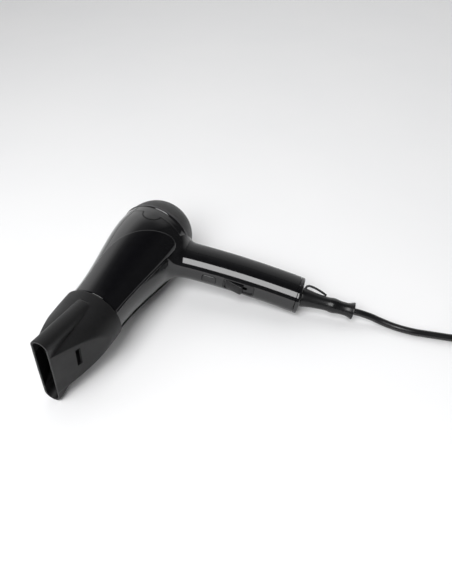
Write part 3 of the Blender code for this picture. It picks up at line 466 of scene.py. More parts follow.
def surface_net(name, level):
    """A closed mesh of the casing's skin, moved in by -level, from a net of cells."""
    low = np.array((-0.04, -0.112, -0.04))
    high = np.array((0.16, 0.04, 0.04))
    counts = np.ceil((high - low) / GRID_STEP).astype(int) + 1
    axes = [low[i] + GRID_STEP * np.arange(counts[i]) for i in range(3)]
    grid = np.stack(np.meshgrid(*axes, indexing="ij"), -1).reshape(-1, 3)
    value = casing_distance(grid) - level
    value = np.maximum(value, -0.1075 - grid[:, 1])
    value = np.maximum(value, to_handle(grid)[:, 0] - 0.154).reshape(counts)
    corners = [np.array((i, j, k)) for i in (0, 1) for j in (0, 1) for k in (0, 1)]

    def corner(c):
        return value[c[0]:counts[0] - 1 + c[0], c[1]:counts[1] - 1 + c[1], c[2]:counts[2] - 1 + c[2]]

    inside = sum((corner(c) < 0.0).astype(int) for c in corners)
    cells = np.argwhere((inside > 0) & (inside < 8))
    total = np.zeros((len(cells), 3))
    hits = np.zeros(len(cells))
    for first in corners:
        for axis in range(3):
            if first[axis]:
                continue
            second = first.copy()
            second[axis] = 1
            a = corner(first)[tuple(cells.T)]
            b = corner(second)[tuple(cells.T)]
            crossed = (a < 0.0) != (b < 0.0)
            share = np.where(crossed, a / np.where(crossed, a - b, 1.0), 0.0)
            total += crossed[:, None] * (first + share[:, None] * (second - first))
            hits += crossed
    points = low + GRID_STEP * (cells + total / hits[:, None])
    for _ in range(4):
        slope = casing_gradient(points)
        off = casing_distance(points) - level
        move = (off / np.maximum((slope ** 2).sum(1), 0.25))[:, None] * slope
        far = np.abs(off) > 1.5 * GRID_STEP
        move[far] = 0.0
        points = points - move
    index = -np.ones(counts, int)
    index[tuple(cells.T)] = np.arange(len(cells))
    faces = []
    for axis in range(3):
        one, two = [a for a in range(3) if a != axis]
        here = [slice(1, -1)] * 3
        there = list(here)
        there[axis] = slice(2, None)
        a = value[tuple(here)]
        b = value[tuple(there)]
        edges = np.argwhere((a < 0.0) != (b < 0.0)) + 1
        falling = (value[tuple(edges.T)] < 0.0)
        back = np.zeros((4, 3), int)
        back[:, (one, two)] = ((0, 0), (1, 0), (1, 1), (0, 1))
        quad = np.stack([index[tuple((edges - step).T)] for step in back], 1)
        turned_over = falling if axis == 1 else ~falling
        quad[turned_over] = quad[turned_over][:, ::-1]
        faces.append(quad)
    faces = np.concatenate(faces)
    faces = faces[(faces >= 0).all(1)]
    return mesh_object(name, points, faces.tolist())


# ------------ building blocks

def mesh_object(name, points, faces, matrix=None):
    """An object from points and faces, with its faces turned out."""
    mesh = bpy.data.meshes.new(name)
    mesh.from_pydata([tuple(float(c) for c in p) for p in points], [], faces)
    bm = bmesh.new()
    bm.from_mesh(mesh)
    if matrix is not None:
        bmesh.ops.transform(bm, matrix=matrix, verts=bm.verts)
    bmesh.ops.recalc_face_normals(bm, faces=bm.faces)
    bm.to_mesh(mesh)
    bm.free()
    made = bpy.data.objects.new(name, mesh)
    bpy.context.scene.collection.objects.link(made)
    return made


def tube_faces(rings, count, closed=False):
    """Quads between neighbouring rings of count points."""
    faces = []
    for ring in range(rings if closed else rings - 1):
        first = ring * count
        second = (ring + 1) % rings * count
        for index in range(count):
            after = (index + 1) % count
            faces.append((first + index, first + after, second + after, second + index))
    return faces


def loft(name, sections, matrix=None, closed=False):
    """A solid through sections of equal point counts, with flat ends unless it closes on itself."""
    count = len(sections[0])
    points = np.concatenate([np.asarray(section, float) for section in sections])
    faces = tube_faces(len(sections), count, closed)
    if not closed:
        last = (len(sections) - 1) * count
        faces.append(tuple(range(count)))
        faces.append(tuple(range(last, last + count)))
    return mesh_object(name, points, faces, matrix)


def round_y(reach, angle, y):
    """Points at that reach and angle round the Y axis."""
    return np.stack([reach * np.cos(angle), np.full(len(angle), y), reach * np.sin(angle)], 1)


def turned(name, profile, sides=144, matrix=None, closed=True):
    """A solid turned about Y from (y, radius) points: a closed profile, or a line with flat ends."""
    angles = np.arange(sides) * 2.0 * np.pi / sides
    return loft(name, [round_y(radius, angles, y) for y, radius in profile], matrix, closed)


def cylinder(name, start_y, end_y, radius, sides=192, matrix=None):
    return turned(name, [(start_y, radius), (end_y, radius)], sides, matrix, False)


def oval(half_width, half_height, power, sides):
    """Coordinates across and up round an oval, squarer as the power rises."""
    angles = np.arange(sides) * 2.0 * np.pi / sides
    reach = (np.abs(np.cos(angles)) ** power + np.abs(np.sin(angles)) ** power) ** (-1.0 / power)
    return half_width * reach * np.cos(angles), half_height * reach * np.sin(angles)


def quarter(steps, first=0):
    """A quarter circle in steps, as pairs of 1 - sine and 1 - cosine."""
    angles = [math.pi / 2.0 * step / steps for step in range(first, steps + 1)]
    return [(1.0 - math.sin(angle), 1.0 - math.cos(angle)) for angle in angles]


def rounded_outline(half_x, half_z, radius, steps=6):
    """Points round a rectangle with round corners, centred on the origin."""
    points = []
    for quadrant, (sx, sz) in enumerate(((1, 1), (-1, 1), (-1, -1), (1, -1))):
        for step in range(steps + 1):
            angle = math.pi / 2.0 * (quadrant + step / steps)
            points.append((sx * (half_x - radius) + radius * math.cos(angle),
                           sz * (half_z - radius) + radius * math.sin(angle)))
    return points


def plate(name, low, high, radius, matrix=None):
    """A block between corners low and high, round-cornered in its X-Z outline."""
    middle_x, middle_z = (low[0] + high[0]) / 2.0, (low[2] + high[2]) / 2.0
    outline = rounded_outline((high[0] - low[0]) / 2.0, (high[2] - low[2]) / 2.0, radius)
    sections = [[(middle_x + x, y, middle_z + z) for x, z in outline] for y in (high[1], low[1])]
    return loft(name, sections, matrix)


def combine(target, tool, operation):
    """Change the target by the tool, and use the tool up."""
    modifier = target.modifiers.new("combine", "BOOLEAN")
    modifier.operation = operation
    modifier.solver = "MANIFOLD"
    modifier.object = tool
    bpy.context.view_layer.update()
    evaluated = target.evaluated_get(bpy.context.evaluated_depsgraph_get())
    mesh = bpy.data.meshes.new_from_object(evaluated)
    target.modifiers.clear()
    old = target.data
    target.data = mesh
    bpy.data.meshes.remove(old)
    bpy.data.objects.remove(tool, do_unlink=True)


def cut(target, *tools):
    for tool in tools:
        combine(target, tool, "DIFFERENCE")


def place_piece(made, material, body, nodes, matrix=TO_ROW, smooth=30.0):
    """Lay a piece on the table, give it its finish and tie it to its CAD body and nodes."""
    if made.type == "MESH":
        made.data.transform(matrix)
        made.data.update()
        if smooth is not None:
            made.data.shade_smooth()
            made.data.set_sharp_from_angle(angle=math.radians(smooth))
    made.data.materials.clear()
    made.data.materials.append(MATERIALS[material])
    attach(made, body)
    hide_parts(*nodes)
    return made


def along_line(line):
    """How far along a line each of its points is."""
    return np.concatenate([[0.0], np.cumsum(np.linalg.norm(np.diff(line, axis=0), axis=1))])


def resample(line, count, endpoint=True):
    """The same line with evenly spaced points."""
    along = along_line(line)
    wanted = np.linspace(0.0, along[-1], count, endpoint=endpoint)
    return np.stack([np.interp(wanted, along, column) for column in line.T], 1)


def curve_through(stations, steps):
    """Rows on a smooth curve through the stations' own rows, in steps between neighbours."""
    table = np.array([tuple(row) for row in stations], float)
    padded = np.vstack([2.0 * table[0] - table[1], table, 2.0 * table[-1] - table[-2]])
    rows = []
    for a, b, c, d in zip(padded, padded[1:], padded[2:], padded[3:]):
        for t in np.arange(steps) / steps:
            rows.append(0.5 * (2.0 * b + (c - a) * t + (2.0 * a - 5.0 * b + 4.0 * c - d) * t * t
                               + (3.0 * b - 3.0 * c + d - a) * t ** 3))
    return np.array(rows + [table[-1]])


def smooth_route(route, spacing):
    """Points about that far apart on a smooth curve through the route's own points."""
    line = curve_through(route, 24)
    return resample(line, max(int(round(along_line(line)[-1] / spacing)), 2) + 1)


def smooth_stations(stations, count):
    return resample(curve_through(stations, 16), count)


# ------------ cord, plug and tie

def cord_exit(distance):
    """A point on the strain relief's axis, that far beyond its flared end."""
    return TO_ROW @ BOOT @ Vector((BOOT_LENGTH + distance, 0.0, 0.0))


def cord_route():
    """The cord's own points, from the strain relief along the table to the outermost turn of the coil."""
    return [cord_exit(GAP), cord_exit(0.007), (0.131, 0.0711, 0.0068), (0.139, 0.0713, 0.0047),
            (0.15, 0.0708, 0.0034), (0.159, 0.0706, 0.0032), (0.169, 0.0711, 0.0032),
            (0.179, 0.0727, 0.0032), (0.198, 0.0761, 0.0032), (0.212, 0.0787, 0.0032),
            (0.2245, 0.0804, 0.0033)]


def tail_route():
    """The last of the cord, from the coil's upper layer to the plug."""
    return [(0.2765, 0.081, 0.0086), (0.287, 0.0828, 0.0074), (0.2975, 0.089, 0.007),
            (0.305, 0.096, 0.0074), (0.3087, 0.104, 0.0077), (0.309, 0.1108, 0.0078)]


def coil_points():
    """Four turns winding in on the lower layer and four winding out on the upper one."""
    pitch = 2.0 * CORD_RADIUS
    radii = [COIL_MEAN_RADIUS + pitch * (k - (COIL_TURNS_ACROSS - 1) / 2.0) for k in range(COIL_TURNS_ACROSS)]
    turns = radii[::-1] + radii
    lower = COIL_CENTRE.z + CORD_RADIUS
    heights = [lower] * COIL_TURNS_ACROSS + [lower + pitch] * COIL_TURNS_ACROSS
    steps = 40
    points = []
    for turn, radius in enumerate(turns):
        after = min(turn + 1, len(turns) - 1)
        for step in range(steps):
            share = max((step / steps - 0.8) / 0.2, 0.0)
            change = share * share * (3.0 - 2.0 * share)
            reach = radius + (turns[after] - radius) * change
            height = heights[turn] + (heights[after] - heights[turn]) * change
            angle = -math.pi / 2.0 + 2.0 * math.pi * step / steps
            points.append((COIL_CENTRE.x + reach * math.cos(angle),
                           COIL_CENTRE.y + reach * math.sin(angle), height))
    points.append((COIL_CENTRE.x, COIL_CENTRE.y - turns[-1], heights[-1]))
    return points


def make_cord():
    line = smooth_route(cord_route() + coil_points() + tail_route(), 0.0022)
    curve = bpy.data.curves.new("cord_line", "CURVE")
    curve.dimensions = "3D"
    curve.bevel_depth = CORD_RADIUS
    curve.bevel_resolution = 7
    curve.use_fill_caps = True
    spline = curve.splines.new("POLY")
    spline.points.add(len(line) - 1)
    spline.points.foreach_set("co", np.c_[line, np.ones(len(line))].ravel())
    spline.use_smooth = True
    made = bpy.data.objects.new("mains_cord", curve)
    bpy.context.scene.collection.objects.link(made)
    return place_piece(made, "cord_rubber", "casing", ("cord", "cord_tail", "cord_coil"))


def make_plug():
    stations = [(0, 4, 4, 2), (0.6, 4.4, 4.4, 2), (6, 4.5, 4.5, 2), (9, 4.8, 4.7, 2.1), (12, 5.7, 5.3, 2.2),
                (14.5, 7.3, 6, 2.5), (17, 9.8, 6.9, 3), (19, 11.3, 7.3, 3.5), (21.5, 12, 7.5, 4),
                (28, 11.6, 7.3, 4), (34, 11.6, 7.3, 4), (41, 12, 7.5, 4), (43.2, 11.9, 7.4, 4),
                (43.8, 11.5, 7, 4), (44, 11, 6.5, 4)]
    sections = []
    for y, half_width, half_height, power in smooth_stations(stations, 70):
        x, z = oval(half_width * MM, half_height * MM, power, 64)
        sections.append(np.stack([x, np.full(64, y * MM), z], 1))
    grip = loft("plug_grip", sections, Matrix.Translation(PLUG_BASE))
    for side in (-1.0, 1.0):
        edge = side * 0.01
        for rib in range(5):
            y = (26.0 + 2.6 * rib) * MM
            cut(grip, plate("groove", (edge - 0.002, y, -0.006), (edge + 0.002, y + 0.0009, 0.006),
                            0.0004, Matrix.Translation(PLUG_BASE + Vector((side * 0.0033, 0.0, 0.0)))))
    pieces = [place_piece(grip, "black_rubber", "casing", ("plug_body",),
                          Matrix.Identity(4), 40.0)]
    tip = PLUG_FACE + PIN_LENGTH
    profile = [(PLUG_FACE + GAP, PIN_RADIUS), (tip - 0.0016, PIN_RADIUS), (tip - 0.0009, 0.93 * PIN_RADIUS),
               (tip - 0.0003, 0.72 * PIN_RADIUS), (tip, 0.42 * PIN_RADIUS)]
    for number, side in ((1, -0.5), (2, 0.5)):
        place = Matrix.Translation(PLUG_BASE + Vector((PIN_SPACING * side, 0.0, 0.0)))
        pin = turned(f"contact_pin_{number}", profile, 40, place, False)
        pieces.append(place_piece(pin, "nickel", "casing", (f"plug_pin_{number}",),
                                  Matrix.Identity(4), 40.0))
    return pieces


def make_tie():
    """A flat strap round the coil's bundle."""
    half_width = COIL_TURNS_ACROSS * CORD_RADIUS
    half_height = 2.0 * CORD_RADIUS
    outer = np.array(rounded_outline(half_width + 0.0006, half_height + 0.0006, 0.0022, 8))
    inner = np.array(rounded_outline(half_width + 0.0001, half_height + 0.0001, 0.0019, 8))
    sections = []
    for side, share in ((-1.0, 0.35), (-0.85, 1.0), (0.85, 1.0), (1.0, 0.35), (1.0, 0.0), (-1.0, 0.0)):
        outline = inner + (outer - inner) * share
        sections.append([(COIL_MEAN_RADIUS + x, side * TIE_WIDTH / 2.0, half_height + z) for x, z in outline])
    place = Matrix.Translation(COIL_CENTRE) @ Matrix.Rotation(TIE_ANGLE, 4, "Z")
    strap = loft("coil_strap", sections, place, closed=True)
    return place_piece(strap, "satin_black", "casing", ("cord_tie",), Matrix.Identity(4), 40.0)


def make_cord_set():
    cord = make_cord()
    pieces = make_plug() + [make_tie()]


# ------------ casing

def tab_rod(name, radius):
    """An upright rod through both thumb tabs, along Z."""
    place = Matrix.Translation((0.0, COVER_SEAM, 0.0)) @ Matrix.Rotation(math.pi / 2.0, 4, "X")
    return cylinder(name, -0.06, 0.06, radius, 96, place)


def seam_block(name, shift, start):
    """All of the handle behind the seam along its sides, from start outwards."""
    sections = []
    for x in np.linspace(start, 0.17, 40):
        seam = SEAM_OFFSET + shift + float(handle_bow(min(x, HANDLE_LENGTH)))
        sections.append([(x, seam, -0.05), (x, 0.08, -0.05), (x, 0.08, 0.05), (x, seam, 0.05)])
    return loft(name, sections, HANDLE)


def read_all(items, name, width=1, kind=float):
    """One attribute of all of a mesh's items, as an array."""
    values = np.zeros(len(items) * width, kind)
    items.foreach_get(name, values)
    return values.reshape(-1, width) if width > 1 else values


def unit_rows(rows):
    return rows / np.maximum(np.linalg.norm(rows, axis=1), 1e-6)[:, None]


def lay_skin(made, material, nodes):
    """Lay a casing piece on the table, with the normals of the shape it was made from on its outer skin."""
    mesh = made.data
    mesh.shade_smooth()
    mesh.set_sharp_from_angle(angle=math.radians(30.0))
    centres = read_all(mesh.polygons, "center", 3)
    slope = unit_rows(casing_gradient(centres))
    facing = (slope * read_all(mesh.polygons, "normal", 3)).sum(1)
    outer = (np.abs(casing_distance(centres)) < 0.0002) & (facing > 0.94)
    corners = read_all(mesh.vertices, "co", 3)[read_all(mesh.loops, "vertex_index", kind=int)]
    normals = unit_rows(casing_gradient(corners))
    normals[~np.repeat(outer, read_all(mesh.polygons, "loop_total", kind=int))] = 0.0
    mesh.normals_split_custom_set(normals.tolist())
    place_piece(made, material, "casing", nodes, smooth=None)


def make_casing():
    """The gloss body with its half of the grip, and the satin cover on the back of the handle."""
    shell = surface_net("body_casing", 0.0)
    cut(shell, surface_net("hollow", -WALL))
    cut(shell, plate("outlet_end", (-0.05, -0.12, -0.05), (0.05, FRONT_END, 0.05), 0.0002))
    cut(shell, plate("grip_end", (HANDLE_CAP_X - GAP, -0.05, -0.05), (0.18, 0.08, 0.05), 0.0002, HANDLE))
    cut(shell, cylinder("cover_space", COVER_SEAM - GAP, 0.07, BARREL_RADIUS + 0.0004))
    back = bpy.data.objects.new("handle_cover", shell.data.copy())
    bpy.context.scene.collection.objects.link(back)
    cut(shell, seam_block("behind_seam", 0.0, NECK_SEAM_X))
    cut(shell, tab_rod("tab_notch", TAB_RADIUS + 2.6 * GAP))
    for start, end, half, radius in ((TRAY_START, TRAY_END, TRAY_HALF_WIDTH, 0.0026),
                                     (BUTTON_START, BUTTON_END, BUTTON_HALF_WIDTH, 0.002)):
        cut(shell, plate("window", (start - GAP, -0.03, -half - GAP), (end + GAP, -0.008, half + GAP),
                         radius, HANDLE))
    combine(back, seam_block("back_side", GAP, NECK_SEAM_X + GAP), "INTERSECT")
    lay_skin(shell, "gloss_black", ("body_shell",))
    lay_skin(back, "satin_black", ("handle_back_cover",))


def handle_ring(x, inset, sides=96):
    depth, thickness = handle_halves(x)
    across, up = oval(depth - inset, thickness - inset, SECTION_POWER, sides)
    return np.stack([np.full(sides, x), handle_bow(x) - across, up], 1)


def make_end_cap():
    """The cap on the handle's end, with a rounded rim and a seat for the strain relief."""
    rim = 0.0013
    sections = [handle_ring(HANDLE_CAP_X, 0.0004), handle_ring(HANDLE_CAP_X + 0.0004, 0.0)]
    sections += [handle_ring(HANDLE_LENGTH - rim * sink, rim * inset) for sink, inset in quarter(6)]
    sections.append(handle_ring(HANDLE_LENGTH - 0.0002, rim + 0.001))
    cap = loft("handle_cap", sections, HANDLE)
    cut(cap, cylinder("boot_hole", -0.02, 0.02, 0.006, 64, BOOT_TURNED))
    place_piece(cap, "gloss_black", "casing", ("handle_end_cap",))


def panel_edges(y):
    """Lower and upper edge of a side panel at y, as angles round the barrel."""
    behind = PANEL_BACK - y
    along = min(max(behind / PANEL_RISE_LENGTH, 0.0), 1.0)
    rise = math.sin(0.5 * math.pi * along ** PANEL_RISE_POWER)
    corner = math.radians(9.0) * max(0.0, 1.0 - behind / 0.006) ** 2
    return PANEL_LOW_ANGLE + corner, PANEL_BACK_ANGLE + (PANEL_TOP_ANGLE - PANEL_BACK_ANGLE) * rise


def rolled(distance, width, height):
    """How far a skin stands at a distance from its edge: a quarter round of that width, then level."""
    share = np.clip(distance / width, 0.0, 1.0)
    return height * np.sqrt(np.clip(1.0 - (1.0 - share) ** 2, 0.0, 1.0))


def panel_outline():
    """Points (y, way round the barrel) right round a side panel, evenly spread and its corners softened."""
    ys = PANEL_BACK + (PANEL_FRONT - PANEL_BACK) * np.linspace(0.0, 1.0, 500) ** 2.0
    lower, upper = (np.array([panel_edges(y)[k] for y in ys]) * barrel_radius(ys) for k in range(2))
    line = np.stack([np.concatenate([ys, ys[::-1], ys[:1]]),
                     np.concatenate([lower, upper[::-1], lower[:1]])], 1)
    even = resample(line, 520, endpoint=False)
    for _ in range(10):
        even = 0.25 * np.roll(even, 1, 0) + 0.5 * even + 0.25 * np.roll(even, -1, 0)
    return even


def make_panel(name, node, side):
    """A thin teardrop skin with a rolled edge; side is 1 up and -1 down."""
    outline = panel_outline()
    count = len(outline)
    tangent = np.roll(outline, -1, 0) - np.roll(outline, 1, 0)
    tangent /= np.linalg.norm(tangent, axis=1)[:, None]
    inward = np.stack([-tangent[:, 1], tangent[:, 0]], 1)
    if ((outline.mean(0) - outline) * inward).sum() < 0.0:
        inward = -inward
    spine = np.array([(y, 0.5 * sum(panel_edges(y)) * float(barrel_radius(y)))
                      for y in np.clip(outline[:, 0], *PANEL_SPINE)])
    rings = [(outline, PANEL_LIFT - 0.0006)]
    for depth in (0.0, 0.00007, 0.00018, 0.00032, 0.0005, PANEL_EDGE):
        rings.append((outline + inward * depth, PANEL_LIFT + rolled(depth, PANEL_EDGE, PANEL_THICKNESS)))
    start = outline + inward * PANEL_EDGE
    for share in np.linspace(0.0, 0.93, 26)[1:]:
        rings.append((start + (spine - start) * share, PANEL_LIFT + PANEL_THICKNESS))
    sections = []
    for flat, lift in rings:
        radius = barrel_radius(flat[:, 0])
        sections.append(round_y(radius + lift, flat[:, 1] / radius, flat[:, 0]) * (1.0, 1.0, side))
    faces = tube_faces(len(sections), count)
    start_at = int(np.argmax(outline[:, 0]))
    order = [(len(sections) - 1) * count + (start_at + k) % count for k in range(count)]
    for k in range(count // 2 - 1):
        quad = (order[k], order[k + 1], order[count - 2 - k], order[count - 1 - k])
        faces.append(tuple(dict.fromkeys(quad)))
    made = mesh_object(name, np.concatenate(sections), faces)
    place_piece(made, "panel_black", "casing", (node,), smooth=50.0)


# ------------ rear cover

def make_cover_ring():
    """The ring behind the seam, with a half-round thumb tab on each side and a raised rim at the grille."""
    soft = 0.0006
    skin = [(COVER_SEAM, BARREL_RADIUS - COVER_WALL), (COVER_SEAM, BARREL_RADIUS - soft),
            (COVER_SEAM + 0.3 * soft, BARREL_RADIUS - 0.3 * soft), (COVER_SEAM + soft, BARREL_RADIUS)]
    skin += [(y, float(barrel_radius(y))) for y in np.linspace(COVER_SEAM + 0.001, GRILLE_RIM - 0.0016, 8)]
    rim = float(barrel_radius(GRILLE_RIM))
    bead = [(0.0012, 0.00025), (0.0009, 0.00055), (0.0005, 0.00075), (0.0, 0.00075), (-0.0003, 0.00055),
            (-0.0005, 0.0002), (-0.0005, -0.0004), (0.0, -0.0008)]
    skin += [(GRILLE_RIM - ahead, rim + lift) for ahead, lift in bead]
    skin += [(GRILLE_RIM, 0.0325), (0.0088, 0.0325), (0.0088, 0.0314), (0.001, 0.0314),
             (0.001, BARREL_RADIUS - COVER_WALL)]
    ring = turned("cover_ring", skin, 256)
    sheet = [(y, float(barrel_radius(y))) for y in np.linspace(-0.0066, 0.0068, 60)]
    tabs = turned("tabs", sheet + [(y, r - WALL) for y, r in reversed(sheet)], 256)
    combine(tabs, tab_rod("tab_edge", TAB_RADIUS), "INTERSECT")
    combine(ring, tabs, "UNION")
    place_piece(ring, "gloss_black", "rear_cover", ("rear_cover_ring",), smooth=24.0)


def make_grille():
    """The domed rear grille: a thin shell with rings of small six-sided holes square to its skin."""
    start = GRILLE_RIM + GAP
    ys = start + (DOME_LENGTH - start) * np.sin(np.linspace(0.0, 1.0, 60) * math.pi / 2.0)
    outer = np.stack([ys, barrel_radius(ys)], 1)
    outer[-1, 1] = 0.0004
    dense = resample(outer, 120)
    slope = np.gradient(dense, axis=0)
    slope /= np.linalg.norm(slope, axis=1)[:, None]
    normal = np.stack([-slope[:, 1], slope[:, 0]], 1)
    normal[-1] = (1.0, 0.0)
    inner = np.maximum(dense - normal * GRILLE_WALL, (start, 0.0003))
    inner_line = [tuple(p) for p in inner[::-1] if p[0] > 0.0175]
    rim = [(0.0165, 0.0307), (0.0109, 0.0307), (0.0109, 0.0322), (start, 0.0322)]
    grille = turned("grille_dome", [tuple(p) for p in dense] + inner_line + rim, 240)
    cut(grille, grille_holes(dense, normal, slope))
    place_piece(grille, "grille_black", "rear_cover", ("rear_grille",), smooth=40.0)


def grille_holes(line, normal, slope):
    """Six-sided pegs square to a turned (y, radius) line, in rings from its end back to near its start."""
    length = along_line(line)
    row_pitch = GRILLE_PITCH * 0.866
    up = np.array((0.0, 1.0, 0.0))
    points = []
    faces = []
    for row in range(int((length[-1] - 0.0022 - 0.0006) / row_pitch)):
        at = length[-1] - 0.0006 - row_pitch * (row + 0.5)
        (y, radius), (ny, nr), (ty, tr) = ([np.interp(at, length, table[:, k]) for k in range(2)]
                                           for table in (line, normal, slope))
        holes = max(int(round(2.0 * math.pi * radius / GRILLE_PITCH)), 3)
        for number in range(holes):
            spin = 2.0 * math.pi * (number + 0.5 * (row % 2)) / holes
            out = np.array((math.cos(spin), 0.0, math.sin(spin)))
            side = np.array((-math.sin(spin), 0.0, math.cos(spin)))
            axis = out * nr + up * ny
            along = out * tr + up * ty
            base = len(points)
            for shift, reach in ((-0.0026, 0.9 * GRILLE_HOLE), (0.0008, GRILLE_HOLE)):
                for a in np.arange(6) * np.pi / 3.0:
                    points.append(out * radius + up * y + axis * shift
                                  + reach * (math.cos(a) * side + math.sin(a) * along))
            faces += [tuple(base + k for k in range(6)), tuple(base + 6 + k for k in reversed(range(6)))]
            for k in range(6):
                after = (k + 1) % 6
                faces.append((base + k, base + 6 + k, base + 6 + after, base + after))
    return mesh_object("holes", points, faces)


# ------------ nozzle

def stadium_reach(angle, half_x, half_z):
    """Distance from the centre to the edge of a slot with round ends, long in z."""
    across = np.abs(np.cos(angle))
    up = np.abs(np.sin(angle))
    straight = half_z - half_x
    round_end = straight * up + np.sqrt(np.clip(half_x ** 2 - (straight * across) ** 2, 0.0, None))
    side = half_x / np.maximum(across, 1e-9)
    flat = (across * half_z > up * half_x) & (side * up <= straight)
    return np.where(flat, side, round_end)


def nozzle_angles():
    turn = np.arange(NOZZLE_SIDES) * 2.0 * np.pi / NOZZLE_SIDES
    return np.arctan2(FIN_CROWDING * np.sin(turn), np.cos(turn))


def nozzle_ring(y, inset):
    """The nozzle round its axis at y: a cone cut by two flat faces, with a fan duct through it."""
    angle = nozzle_angles()
    cone = COLLAR_RADIUS - CONE_SLOPE * max(COLLAR_FRONT - y, 0.0) - inset
    face = OUTLET_HALF_X + FACE_SLOPE * (y - NOZZLE_END) - inset
    fin = OUTLET_HALF_Z - FIN_SLOPE * (y - NOZZLE_END) - inset
    cut_cone = soft_min(cone, face / np.maximum(np.abs(np.cos(angle)), 1e-6), EDGE_ROUNDING)
    duct = stadium_reach(angle, OUTLET_HALF_X - inset, fin)
    return round_y(-soft_min(-cut_cone, -duct, EDGE_ROUNDING), angle, y)


def round_ring(y, radius):
    return round_y(radius, nozzle_angles(), y)


def make_nozzle():
    rings = [round_ring(COLLAR_BACK, BORE_RADIUS + 0.0003)]
    rings += [round_ring(COLLAR_BACK - 0.0008 * ahead, COLLAR_RADIUS - 0.0008 * inset)
              for inset, ahead in quarter(4)]
    rings += [round_ring(y, COLLAR_RADIUS) for y in np.linspace(COLLAR_BACK - 0.0012, COLLAR_FRONT, 8)[:-1]]
    soft = 0.0004
    rings += [nozzle_ring(y, 0.0) for y in np.linspace(COLLAR_FRONT, NOZZLE_END + soft, 130)]
    rings += [nozzle_ring(NOZZLE_END + soft * sink, soft * inset) for sink, inset in quarter(4, 1)]
    rings.append(nozzle_ring(NOZZLE_END, NOZZLE_WALL - 0.0004))
    rings += [nozzle_ring(y, NOZZLE_WALL) for y in np.linspace(NOZZLE_END + 0.0003, COLLAR_FRONT, 50)]
    rings += [round_ring(COLLAR_FRONT, THROAT_RADIUS), round_ring(FRONT_END - 0.0005, THROAT_RADIUS),
              round_ring(FRONT_END - 0.0005, BORE_RADIUS), round_ring(COLLAR_BACK - 0.0003, BORE_RADIUS)]
    nozzle = loft("nozzle_shell", rings, closed=True)
    cut(nozzle, plate("vents", (VENT_Y[0], -0.03, VENT_Z[0]), (VENT_Y[1], 0.03, VENT_Z[1]), 0.0007,
                      Matrix.Rotation(math.pi / 2.0, 4, "Z")))
    place_piece(nozzle, "matte_black", "nozzle_body", ("nozzle",), smooth=38.0)


# ------------ handle: switch and button

def make_tray():
    """The glossy recess that the switch slides in."""
    lip = 0.0008
    tray = plate("switch_recess", (TRAY_START, -0.03, -TRAY_HALF_WIDTH), (TRAY_END, -0.01, TRAY_HALF_WIDTH),
                 0.0024, HANDLE)
    skin = loft("skin", [handle_ring(x, 0.00005, 160) for x in np.linspace(0.07, 0.12, 40)], HANDLE)
    combine(tray, skin, "INTERSECT")
    cut(tray, plate("recess", (TRAY_START + lip, -0.03, -TRAY_HALF_WIDTH + lip),
                    (TRAY_END - lip, -0.0112, TRAY_HALF_WIDTH - lip), 0.0018, HANDLE),
        plate("slot", (0.0893, -0.03, -0.0016), (0.1022, -0.005, 0.0016), 0.001, HANDLE))
    place_piece(tray, "panel_black", "casing", ("switch_tray",), smooth=35.0)


def knob_height(x):
    """How far the knob's thumb face reaches towards -Y at x: a ribbed ramp, a crest and a steep end."""
    xs, heights = zip((KNOB_START, 0.0118), (0.0832, 0.0125), (0.0862, 0.0135), (0.09, 0.0147),
                      (0.0935, 0.0157), (0.096, 0.0162), (0.0972, 0.0162), (0.0981, 0.0156),
                      (0.0986, 0.014), (KNOB_END, 0.0118))
    ribbed = np.clip((x - 0.085) / 0.0006, 0.0, 1.0) * np.clip((0.095 - x) / 0.0006, 0.0, 1.0)
    rib = 0.5 + 0.5 * np.cos(2.0 * np.pi * (x - 0.085) / 0.00135)
    return np.interp(x, xs, heights) - 0.00022 * ribbed * rib


def make_knob():
    xs = np.linspace(KNOB_START, KNOB_END, 130)
    top = np.convolve(np.pad(knob_height(xs), 2, mode="edge"), np.ones(5) / 5.0, "valid")
    rim = [(KNOB_HALF_WIDTH - deep, inset)
           for deep, inset in ((0.0, 0.0011), (0.0001, 0.0006), (0.0004, 0.0002), (0.0009, 0.0))]
    sections = []
    for z, inset in [(-z, inset) for z, inset in rim] + [(0.0, 0.0)] + rim[::-1]:
        upper = [(x, -max(y - inset, 0.0117), z) for x, y in zip(xs, top)]
        sections.append(upper + [(xs[-1] - 0.0002, -0.0114, z), (xs[0] + 0.0002, -0.0114, z)])
    knob = loft("speed_knob", sections, HANDLE)
    stem = plate("stem", (0.09, -0.012, -0.0012), (0.0935, -0.0078, 0.0012), 0.0004, HANDLE)
    combine(knob, stem, "UNION")
    place_piece(knob, "satin_black", "speed_slider", ("slide_knob",), smooth=38.0)


